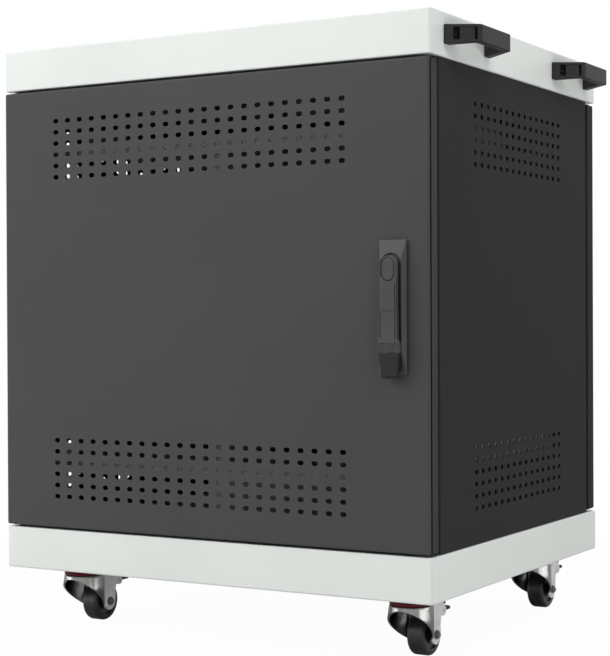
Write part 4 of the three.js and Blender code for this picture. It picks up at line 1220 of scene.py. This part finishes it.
def fork_crown(bell_top):
    """The bell's flat top with its rolled rim, open for the king pin."""
    rim = bell_top - BELL_RIM
    radius = BELL_RADIUS - BELL_TAPER
    hole = KING_PIN_RADIUS + 0.4
    under = bell_top - FORK_GAUGE
    profile = [(hole, bell_top)] + arc((radius - BELL_RIM, rim), BELL_RIM, 90, 0, 6)
    profile += [(radius - 0.6, rim - 0.3), (radius - 0.6, under), (hole, under), (hole, bell_top)]
    return turned(profile, "Z", 64)


def axle_bolt(corner, axle):
    end = half_size(f"caster_axle_{corner}")[0]
    nut = prism(hexagon(NUT_RADIUS), FORK_OUTSIDE + 0.6, end - NUT_SETBACK, "X")
    ring = rectangle(WASHER_BORE, FORK_OUTSIDE, WASHER_RADIUS, FORK_OUTSIDE + WASHER_GAUGE)
    washer = turned(ring + [ring[0]], "X", 32)
    parts = []
    for made in (soften(nut, 0.5, 2, 40), washer):
        parts += [made, mirrored(made.copy(), Matrix.Diagonal((-1, 1, 1, 1)))]
    parts.append(chamfered_rod(*AXLE_ROD, end, 28))
    piece(f"axle_bolt_{corner}", moved(joined(parts), axle), BOLT, f"caster_{corner}",
          f"caster_axle_{corner}", 30)


def swivel_plate(corner, foot):
    """The top plate with its bolts, the raceway's cup under it and the king pin."""
    node = f"caster_plate_{corner}"
    low, high = span(node)
    size = half_size(node)[0]
    top = high.z - foot.z
    under = top - PLATE_GAUGE
    raceway = span(f"caster_seal_{corner}")[1].z - foot.z + SEAL_GAP
    plate = soften(prism(rounded_loop(size, size, PLATE_CORNER), under, top, "Z"), 0.5, 2, 50)
    cup = turned([(0, under), (20, under), (22, under - 1.2), (22.2, raceway + 1.5), (21, raceway),
                  (0, raceway)], "Z", 56)
    tip = low.z - foot.z
    pin = turned([(0, tip), (7, tip), (8, tip + 1), (8, tip + 3), (KING_PIN_RADIUS, tip + 3),
                  (KING_PIN_RADIUS, raceway), (0, raceway)], "Z", 32)
    head = turn(screw_head(*PLATE_BOLT), Matrix.Rotation(math.pi, 4, "X"))
    bolts = repeated(head, ZINC, (0, 0, under), 2, 2, PLATE_BOLT_PITCH, PLATE_BOLT_PITCH)
    parts = moved(joined([plate, cup, pin, bolts]), foot)
    piece(f"swivel_plate_{corner}", parts, ZINC, CABINET, node, 30)


def seal_ring(corner, foot):
    node = f"caster_seal_{corner}"
    low, high = span(node)
    lip = half_size(node)[0] - SEAL_LIP
    bottom = low.z - foot.z
    crest = high.z - foot.z
    profile = [(SEAL_BORE, bottom)] + arc((lip, bottom + SEAL_LIP), SEAL_LIP, -90, 0, 4)
    profile += arc((lip, crest - SEAL_LIP), SEAL_LIP, 0, 90, 4)
    profile += [(SEAL_BORE, crest), (SEAL_BORE, bottom)]
    seal = moved(turned(profile, "Z", 64), foot)
    piece(f"seal_ring_{corner}", seal, SEAL, f"caster_{corner}", node, 40)


def caster_wheel(corner, axle):
    """A tyre with rounded shoulders and recessed sides, and a hub in each recess."""
    node = f"caster_wheel_{corner}"
    half = half_size(node)[0]
    radius = WHEEL_RADIUS
    shoulder = WHEEL_SHOULDER
    profile = [(radius - 0.25, 0.0), (radius - 0.05, 0.5), (radius, 1.2)]
    profile += [(r, w) for w, r in arc((half - shoulder, radius - shoulder), shoulder, 90, 12, 9)]
    profile += [(radius - 6.6, half), (radius - 7.4, half - 0.3), (radius - 7.9, half - 1.0),
                (radius - 8.2, half - 3.6), (10.0, half - 4.2)]
    other = [(r, -w) for r, w in reversed(profile[1:])]
    tyre = moved(turned(other + profile + [other[0]], "X", 72), axle)
    piece(f"tyre_{corner}", tyre, RUBBER, f"wheel_{corner}", node, 35)
    hub = [(4.5, half), (6.6, half), (7.2, half - 0.6), (7.4, half - 3.2), (10.5, half - 3.9),
           (10.5, half - 6.0), (4.5, half - 6.0), (4.5, half)]
    hubs = [turned([(r, end * w) for r, w in hub], "X", 40) for end in SIDES]
    piece(f"hub_{corner}", moved(joined(hubs), axle), GRIP_BLACK, f"wheel_{corner}", sharp=30)


def brake_pedal(corner, foot):
    """A tread plate on a hub between the fork's ears, with an upper heel and moulded ridges."""
    node = f"brake_pedal_{corner}"
    ear = foot + Vector((0, EAR_Y, EAR_Z))
    reach = span(node)[1].y - foot.y - EAR_Y
    half = FORK_OUTSIDE - FORK_GAUGE - PEDAL_GAP
    thin = PEDAL_THIN
    section = filleted([
        (reach, -thin, 1.2), (reach, thin, 1.4), (2.6, thin, 1.2), (2.2, 6.0, 1.0), (11.0, 6.0, 1.2),
        (11.0, 10.0, 1.4), (-6.0, 10.0, 2.0), (-4.6, -1.0, 1.5), (-2.6, -4.4, 1.2), (0.4, -6.2, 1.0),
        (4.4, -thin, 1.0)], 4)
    tread = soften(prism(section, -half, half, "X"), 0.7, 3, 50)
    ridge_half = half - PEDAL_RIDGE_INSET
    ridge = prism([(-0.5, 0), (0.5, 0), (0.25, 0.7), (-0.25, 0.7)], -ridge_half, ridge_half, "X")
    ridges = repeated(soften(ridge, 0.15, 2), HANDLE_BLACK, (0, PEDAL_RIDGES_Y, thin - RIDGE_SUNK),
                      rows=PEDAL_RIDGES, row_pitch=PEDAL_RIDGE_PITCH)
    body = f"pedal_{corner}"
    piece(f"pedal_{corner}", moved(joined([tread, ridges]), ear), HANDLE_BLACK, body, node, 35)
    pin = chamfered_rod(*PEDAL_PIN, half_size(node)[0], 24)
    piece(f"pedal_pin_{corner}", moved(pin, ear), ZINC, body, sharp=30)


def caster(corner):
    plate = centre(f"caster_plate_{corner}")
    foot = Vector((plate.x, plate.y, span("base_tray")[0].z))
    bell_top = span(f"caster_seal_{corner}")[0].z - foot.z - SEAL_GAP
    axle_z = centre(f"caster_axle_{corner}").z - foot.z
    axle = foot + Vector((0, TRAIL, axle_z))
    leg, wrap = fork_plan()
    legs = [fork_wall([(side * x, y) for x, y in leg], bell_top, axle_z) for side in SIDES]
    skirt = fork_wall(wrap + [(-x, y) for x, y in reversed(wrap[:-1])], bell_top, axle_z)
    body = f"caster_{corner}"
    # Legs and bell take the lighter and darker copies of one steel, painted reflection.
    piece(f"fork_{corner}", moved(joined(legs), foot), FORK_LEG_PAINTED_REFLECTION, body, f"caster_fork_{corner}", 30)
    bell = moved(joined([skirt, fork_crown(bell_top)]), foot)
    piece(f"bell_{corner}", bell, BELL_PAINTED_DARK_REFLECTION, body, sharp=30)
    axle_bolt(corner, axle)
    swivel_plate(corner, foot)
    seal_ring(corner, foot)
    caster_wheel(corner, axle)
    brake_pedal(corner, foot)


# Inside: partition, device racks and the rim's rubber strips

PARTITION_GAUGE = 2.0
PARTITION_GAP = 0.2
PARTITION_FOLD = 2.6
PARTITION_INNER_FOLD = 1.0
RACK_GAUGE = 2.0
RACK_FINS = 8
FIN_CORNER = 22.0
FIN_SETBACK = 20.0
FOOT_CORNER = 3
STRIP_REACH = 6.4
STRIP_THICK = 2.6
STRIP_DOOR_GAP = 0.5
STRIP_PANEL_GAP = 0.4


def partition():
    low, high = span("centre_partition")
    web = high.x - PARTITION_GAUGE
    flange = low.y + PARTITION_GAUGE
    outline = filleted([
        (web, high.y, 0), (web, flange, PARTITION_INNER_FOLD), (low.x, flange, 0), (low.x, low.y, 0),
        (high.x, low.y, PARTITION_FOLD), (high.x, high.y, 0)])
    upright = prism(outline, low.z, high.z, "Z")
    piece("partition_sheet", upright, LIGHT_GREY, CABINET, "centre_partition")
    floor = span("base_tray")[0].z + SHEET + PARTITION_GAP
    under = span("lower_deck")[1].z - SHEET - PARTITION_GAP
    piece("partition_foot", prism(outline, floor, under, "Z"), LIGHT_GREY, CABINET)


def device_rack(node):
    """Fins with rounded front and rear tops, welded in a row on a foot strip."""
    low, high = span(node)
    wide, depth, _ = half_size(node)
    tall = high.z - low.z
    pitch = (high.x - low.x - RACK_GAUGE) / (RACK_FINS - 1)
    middle = centre(node)
    place = (middle.x, middle.y, low.z)
    reach = depth - FIN_SETBACK
    edge = filleted([
        (-reach, 0, 0), (reach, 0, 0), (reach, tall, FIN_CORNER), (-reach, tall, FIN_CORNER)], 8)
    fin = soften(prism(edge, -RACK_GAUGE / 2, RACK_GAUGE / 2, "X"), 0.6, 3, 60)
    fins = repeated(fin, ZINC, place, RACK_FINS, column_pitch=pitch)
    strip = prism(rounded_loop(wide, depth, FOOT_CORNER), 0, RACK_GAUGE, "Z")
    piece(node + "_fins", joined([fins, moved(strip, place)]), ZINC, CABINET, node)


def rim_seals():
    """Rubber strips on the cabinet's rim that close the slit above and below each door and side panel."""
    left, right = span("corner_post_fl")[0].x, span("corner_post_fr")[1].x
    front, rear = span("corner_post_fl")[1].y, span("corner_post_rl")[0].y
    cap_low = span("top_cover")[0].z
    base_high = span("base_tray")[1].z
    front_y = span("front_door")[1].y + STRIP_DOOR_GAP
    rear_y = span("rear_door")[0].y - STRIP_DOOR_GAP - STRIP_THICK
    right_x = span("right_side_panel")[1].x - SHEET - STRIP_PANEL_GAP - STRIP_THICK
    left_x = span("left_side_panel")[0].x + SHEET + STRIP_PANEL_GAP
    plans = {
        "front_door_seal": rectangle(left, front_y, right, front_y + STRIP_THICK),
        "rear_door_seal": rectangle(left, rear_y, right, rear_y + STRIP_THICK),
        "right_panel_seal": rectangle(right_x, front, right_x + STRIP_THICK, rear),
        "left_panel_seal": rectangle(left_x, front, left_x + STRIP_THICK, rear),
    }
    for name, plan in plans.items():
        upper = soften(prism(plan, cap_low - STRIP_REACH, cap_low, "Z"), 0.6, 2)
        lower = soften(prism(plan, base_high, base_high + STRIP_REACH, "Z"), 0.6, 2)
        piece(name, joined([upper, lower]), RUBBER, CABINET)


# Hinge pins, posts, cams and spindles, the rear barrel lock, the inlet and the power strip

PIN_RADIUS = 3.0
PIN_REACH = 8.0
PIN_CHAMFER = 0.6
COLLAR_CHAMFER = 0.5
POST_LEG = 24.0
FIT = 0.3
BARREL_RADIUS = 9.0
BARREL_BORE = 6.2
BARREL_NUT_RADIUS = 12.5
PLUG_RADIUS = 6.0
PLUG_STEM = 3.0
PLUG_CHAMFER = 0.7
KEYWAY = (0.8, 3.2, 0.5)
KEYWAY_DEPTH = 4
SPINDLE_STEM = 4.0
CAM_END = 4.0
CAM_TAPER = 2
CAM_TAPER_LENGTH = 2.5
CAM_NUT_RADIUS = 6.5
CAM_NUT_HEIGHT = 2.6
BOX_LIP = 5.0
PLUG_FROM_BOX = 14.2
BLADES = ((-7.0, -1.5), (7.0, -1.5), (0.0, 2.5))
BLADE = (1.0, 2.0, 0.4)
BLADE_LENGTH = 11.0
BLADE_DEPTH = 15.6
PLUG_WELL = 15.5
PLUG_OUTLINE = ((-12, -8.5, 5), (12, -8.5, 5), (12, 8.5, 2), (-12, 8.5, 2))
ROCKER_WELL = 8.7
ROCKER_DEPTH = 2.5
ROCKER_CHAMFER = 0.8
ROCKER_DISH = 1.1
ROCKER_TILT = 8.0
STRIP_CROWN = 44.0
STRIP_SOCKETS = 8
SOCKET_SIZE = 30.0
SOCKET_DEPTH = 4.0
CONTACT_DEPTH = 14
CONTACT = (1.2, 4.2, 0.5)
CONTACT_X, CONTACT_Y = 6.4, 3.0
EARTH_RADIUS, EARTH_Y = 2.6, -7.0
SOCKET_OVERRUN = 3


def hinge_pin(node):
    wide, _, reach = half_size(node)
    collar = reach - PIN_REACH - FIT
    half = [(0, reach), (PIN_RADIUS - PIN_CHAMFER, reach), (PIN_RADIUS, reach - PIN_CHAMFER),
            (PIN_RADIUS, collar), (wide - COLLAR_CHAMFER, collar), (wide, collar - COLLAR_CHAMFER)]
    pin = moved(turned(both_ends(half), "Z", 32), centre(node))
    piece(node + "_turned", pin, ZINC, CABINET, node, 30)


def corner_post(corner):
    node = f"corner_post_{corner}"
    low, high = span(node)
    side = 1 if low.x > 0 else -1
    end = 1 if low.y > 0 else -1
    x = high.x if side > 0 else low.x
    y = high.y if end > 0 else low.y
    outline = filleted([
        (x, y, FOLD), (x - side * POST_LEG, y, 0), (x - side * POST_LEG, y - end * SHEET, 0),
        (x - side * SHEET, y - end * SHEET, FOLD - SHEET), (x - side * SHEET, y - end * POST_LEG, 0),
        (x, y - end * POST_LEG, 0)])
    # The corner posts take the darker charcoal copy, painted shade.
    piece(f"post_{corner}", prism(outline, low.z, high.z, "Z"), CHARCOAL_PAINTED_SHADE, CABINET, node)


def cam(node, spindle, body):
    """A flat cam with a rounded tail and a narrowed end, held by a nut on its inner side."""
    low, high = span(node)
    axis = centre(spindle)
    tail = half_size(node)[2]
    reach = max(high.x - axis.x, axis.x - low.x)
    side = 1 if high.x - axis.x > axis.x - low.x else -1
    outline = arc((0, 0), tail, 90, 270, 14) + [
        (reach - CAM_TAPER_LENGTH, -CAM_END), (reach, CAM_TAPER - CAM_END),
        (reach, CAM_END - CAM_TAPER), (reach - CAM_TAPER_LENGTH, CAM_END)]
    plate = soften(prism_at(axis, [(side * u, v) for u, v in outline], low.y, high.y), 0.4, 2, 50)
    ends = (high.y, high.y + CAM_NUT_HEIGHT) if axis.y < 0 else (low.y - CAM_NUT_HEIGHT, low.y)
    nut = soften(prism_at(axis, hexagon(CAM_NUT_RADIUS), *ends), 0.5, 2, 40)
    piece(f"{node}_plate", joined([face_out(plate), nut]), ZINC, body, node, 30)


def front_spindle():
    low, high = span("lock_spindle")
    radius = half_size("lock_spindle")[0]
    step = span("lock_cam")[0].y - FIT
    profile = [
        (0, low.y), (radius - 0.6, low.y), (radius, low.y + 0.6), (radius, step), (SPINDLE_STEM, step),
        (SPINDLE_STEM, high.y - 0.5), (SPINDLE_STEM - 0.5, high.y), (0, high.y)]
    spindle = turned_at(centre("lock_spindle"), profile, 40)
    piece("spindle", spindle, ZINC, "lock_spindle", "lock_spindle", 30)


def rear_lock():
    low, high = span("rear_lock_barrel")
    axis = centre("rear_lock_barrel")
    door_face = span("rear_door")[1].y
    flange = half_size("rear_lock_barrel")[0]
    seat = door_face + FIT
    profile = [
        (BARREL_BORE, high.y - 0.4), (BARREL_BORE + 0.5, high.y), (flange - 2.2, high.y),
        (flange - 0.6, high.y - 0.9), (flange, high.y - 2.2), (flange, seat), (BARREL_RADIUS, seat),
        (BARREL_RADIUS, low.y), (BARREL_BORE, low.y), (BARREL_BORE, high.y - 0.4)]
    barrel = turned_at(axis, profile, 56)
    nut_face = door_face - SHEET - 0.2
    nut = soften(prism_at(axis, hexagon(BARREL_NUT_RADIUS), nut_face - 4, nut_face), 0.6, 2, 40)
    bore = turned_at(axis, rod(BARREL_RADIUS - 0.2, nut_face - 6, nut_face + 2), 40)
    barrel = joined([barrel, cut(nut, bore)])
    piece("rear_barrel", barrel, BRIGHT, "rear_door", "rear_lock_barrel", 30)

    low, high = span("rear_lock_plug")
    step = span("rear_lock_cam")[1].y + FIT
    profile = [(0, high.y), (PLUG_RADIUS - PLUG_CHAMFER, high.y), (PLUG_RADIUS, high.y - PLUG_CHAMFER),
               (PLUG_RADIUS, step), (PLUG_STEM, step), (PLUG_STEM, low.y), (0, low.y)]
    keyway = prism_at(axis, rounded_loop(*KEYWAY), high.y - KEYWAY_DEPTH, high.y + 2)
    plug = cut(turned_at(axis, profile, 40), keyway)
    piece("rear_plug", plug, BRIGHT, "rear_lock", "rear_lock_plug", 30)


def inlet():
    """A flanged box with a well for the plug, three blades in it, and a rocker beside it."""
    low, high = span("mains_inlet")
    middle = (low + high) / 2
    half_x, _, half_z = half_size("mains_inlet")
    wall = span("base_tray")[1].y
    rocker_half, _, rocker_tall = half_size("rocker_switch")
    rocker = Vector((centre("rocker_switch").x, wall, middle.z))
    plug = Vector((low.x + BOX_LIP + PLUG_FROM_BOX, high.y - BLADE_DEPTH, middle.z))
    bezel = prism_at(middle, rounded_loop(half_x, half_z, 4.0), wall + 0.1, high.y)
    shell = rounded_loop(half_x - BOX_LIP, half_z - BOX_LIP, 2.0)
    shell = prism_at(middle, shell, low.y, wall + 1.2)
    rocker_well = rounded_loop(rocker_half + 0.3, rocker_tall + 0.5, 1.2)
    wells = [prism_at(plug, filleted(PLUG_OUTLINE), high.y - PLUG_WELL, high.y + 2),
             prism_at(rocker, rocker_well, high.y - ROCKER_WELL, high.y + 2)]
    bezel = cut(soften(bezel, 0.6, 3, 50), *[well.copy() for well in wells])
    piece("inlet_body", joined([bezel, cut(shell, *wells)]), HANDLE_BLACK, CABINET, "mains_inlet", 30)
    blades = []
    for u, v in BLADES:
        blade = soften(prism(rounded_loop(*BLADE), 0, BLADE_LENGTH, "Z"), 0.3, 2, 60)
        stand = Matrix.Translation(plug + Vector((u, 0, v))) @ Matrix.Rotation(-math.pi / 2, 4, "X")
        blades.append(turn(blade, stand))
    piece("inlet_blades", joined(blades), ZINC, CABINET, sharp=30)

    tall = rocker_tall - 0.4
    shoulder = ROCKER_DEPTH - ROCKER_CHAMFER
    section = [(-ROCKER_DEPTH, -tall), (-ROCKER_DEPTH, tall), (shoulder, tall)]
    for v in stations(tall - ROCKER_CHAMFER, ROCKER_CHAMFER - tall, 1.2):
        section.append((ROCKER_DEPTH - ROCKER_DISH * math.cos(math.pi * v / (2 * tall)) ** 2, v))
    section.append((shoulder, -tall))
    paddle = soften(prism(section, -rocker_half, rocker_half, "X"), 0.3, 2, 50)
    tilt = Matrix.Rotation(math.radians(ROCKER_TILT), 4, "X")
    turn(paddle, Matrix.Translation(rocker) @ tilt)
    piece("rocker_paddle", paddle, GRIP_BLACK, "rocker_switch", "rocker_switch", 30)


def power_strip():
    """A wedge-sided strip with a row of sockets, each with two slots and an earth hole."""
    low, high = span("power_strip")
    middle = (low + high) / 2
    wide = half_size("power_strip")[1]
    crown = STRIP_CROWN / 2
    top = high.z - low.z
    section = filleted([(-wide, 0, 1.0), (wide, 0, 1.0), (crown, top, 4.0), (-crown, top, 4.0)])
    strip = soften(prism(section, low.x - middle.x, high.x - middle.x, "X"), 1.2, 3, 60)
    pitch = (high.x - low.x) / STRIP_SOCKETS

    def row(outline, depth, across, up):
        hole = prism(outline, -depth, SOCKET_OVERRUN, "Z")
        return repeated(hole, HANDLE_BLACK, (across, up, top), STRIP_SOCKETS, column_pitch=pitch)

    half = SOCKET_SIZE / 2
    recess = row(rounded_loop(half, half, 5.0), SOCKET_DEPTH, 0.0, 0.0)
    slots = [row(rounded_loop(*CONTACT), CONTACT_DEPTH, side * CONTACT_X, CONTACT_Y) for side in SIDES]
    earth = row(arc((0, 0), EARTH_RADIUS, 0, 345, 23), CONTACT_DEPTH, 0.0, EARTH_Y)
    strip = moved(cut(strip, recess, *slots, earth), (middle.x, middle.y, low.z))
    piece("socket_strip", strip, HANDLE_BLACK, CABINET, "power_strip", 30)


# Camera, light and floor

CAMERA_PLACE = (1080.5, -1866.9, 395.9)
CAMERA_YAW, CAMERA_PITCH, CAMERA_ROLL = -0.52673, -0.006959, -0.0044716
FOCAL_PIXELS, IMAGE_HEIGHT, SENSOR = 1641.28, 656, 36.0
WHITE = grey(1.0)
FLOOR_SIZE = 20.0
FILL_STRENGTH = 0.45

# Place, target, width and height in metres, and watts
LAMPS = {
    "key": ((-1.5, -2.4, 2.1), (0, 0, 0.45), 2.2, 1.6, 50),
    "side": ((1.4, -0.85, 1.95), (0.3, 0, 0.65), 0.8, 0.8, 11),
    "top": ((0, 0.3, 3.2), (0, 0, 0.6), 2.4, 2.4, 30),
    "rear": ((0, 2.6, 1.7), (0, 0.25, 0.45), 2.0, 1.4, 11),
    "low_left": ((-2.2, -1.3, 0.17), (0, 0, 0.1), 1.9, 0.24, 7),
    "low_right": ((2.4, 0.6, 0.15), (0, 0, 0.1), 3.2, 0.2, 9.5),
}


def camera():
    """Where the photograph was taken from, its axes built from yaw, pitch and roll in radians."""
    yaw, pitch, roll = CAMERA_YAW, CAMERA_PITCH, CAMERA_ROLL
    ahead = Vector((math.sin(yaw) * math.cos(pitch), math.cos(yaw) * math.cos(pitch), math.sin(pitch)))
    level = Vector((math.cos(yaw), -math.sin(yaw), 0))
    upright = level.cross(ahead)
    right = level * math.cos(roll) + upright * math.sin(roll)
    up = upright * math.cos(roll) - level * math.sin(roll)
    data = bpy.data.cameras.new("camera")
    data.sensor_width = SENSOR
    data.lens = FOCAL_PIXELS / IMAGE_HEIGHT * SENSOR
    made = linked("camera", data)
    axes = Matrix((right, up, -ahead)).transposed().to_4x4()
    made.matrix_world = Matrix.Translation(Vector(CAMERA_PLACE) * MM) @ axes
    bpy.context.scene.camera = made


def soft_box(name, place, target, width, height, watts):
    lamp = bpy.data.lights.new(name, "AREA")
    lamp.shape = "RECTANGLE"
    lamp.size = width
    lamp.size_y = height
    lamp.energy = watts
    made = linked(name, lamp)
    made.location = place
    made.visible_camera = False
    made.rotation_euler = (Vector(target) - Vector(place)).to_track_quat("-Z", "Y").to_euler()


def seen_directly(graph, *kinds):
    """1 for rays of the kinds that show the background itself."""
    rays = graph.tree.nodes.new("ShaderNodeLightPath")
    total = 0.0
    for kind in kinds:
        total = total + Value(graph, rays.outputs[kind])
    return graph.node("ShaderNodeMath", {"operation": "MINIMUM"}, {0: total, 1: 1.0})


def sky():
    """White where it is seen, and a weaker fill where it lights."""
    world = bpy.data.worlds.new("studio")
    world.use_nodes = True
    bpy.context.scene.world = world
    graph = Graph(world.node_tree)
    world.node_tree.nodes.clear()
    white = graph.node("ShaderNodeBackground", {}, {"Color": WHITE, "Strength": 1.0})
    fill = graph.node("ShaderNodeBackground", {}, {"Color": WHITE, "Strength": FILL_STRENGTH})
    shown = seen_directly(graph, "Is Camera Ray", "Is Glossy Ray", "Is Transmission Ray")
    mixed = graph.node("ShaderNodeMixShader", {}, {0: shown, 1: fill, 2: white})
    graph.node("ShaderNodeOutputWorld", {}, {"Surface": mixed})


def floor():
    """Paper that fades to white away from the cart."""
    mesh = bmesh.new()
    bmesh.ops.create_grid(mesh, x_segments=1, y_segments=1, size=FLOOR_SIZE)
    made = loose("floor", mesh)
    paper = Finish("studio_floor")
    matt = paper.node("ShaderNodeBsdfDiffuse", {}, {"Color": grey(0.7)})
    glow = paper.node("ShaderNodeEmission", {}, {"Color": WHITE, "Strength": 1.0})
    distance = paper.node(
        "ShaderNodeVectorMath", {"operation": "LENGTH"}, {0: paper.position}, output="Value")
    share = paper.grade(distance, low=0.45, high=1.4, to_low=0.972, to_high=1.0)
    shown = seen_directly(paper, "Is Camera Ray", "Is Transmission Ray")
    lit = paper.node("ShaderNodeMixShader", {}, {0: shown * share, 1: matt, 2: glow})
    paper.node("ShaderNodeOutputMaterial", {}, {"Surface": lit})
    made.data.materials.append(paper.material)


sheet_metal()
door_lock()
for corner in CORNERS:
    bow_handle(corner)
    caster(corner)
partition()
for side in ("left", "right"):
    device_rack(f"{side}_device_rack")
rim_seals()
for door in ("front", "rear"):
    for end in ("lower", "upper"):
        hinge_pin(f"{door}_hinge_pin_{end}")
for corner in CORNERS:
    corner_post(corner)
front_spindle()
cam("lock_cam", "lock_spindle", "lock_spindle")
rear_lock()
cam("rear_lock_cam", "rear_lock_plug", "rear_lock")
inlet()
power_strip()

bpy.context.scene.view_settings.view_transform = "Standard"
camera()
sky()
floor()
for name, settings in LAMPS.items():
    soft_box(name, *settings)
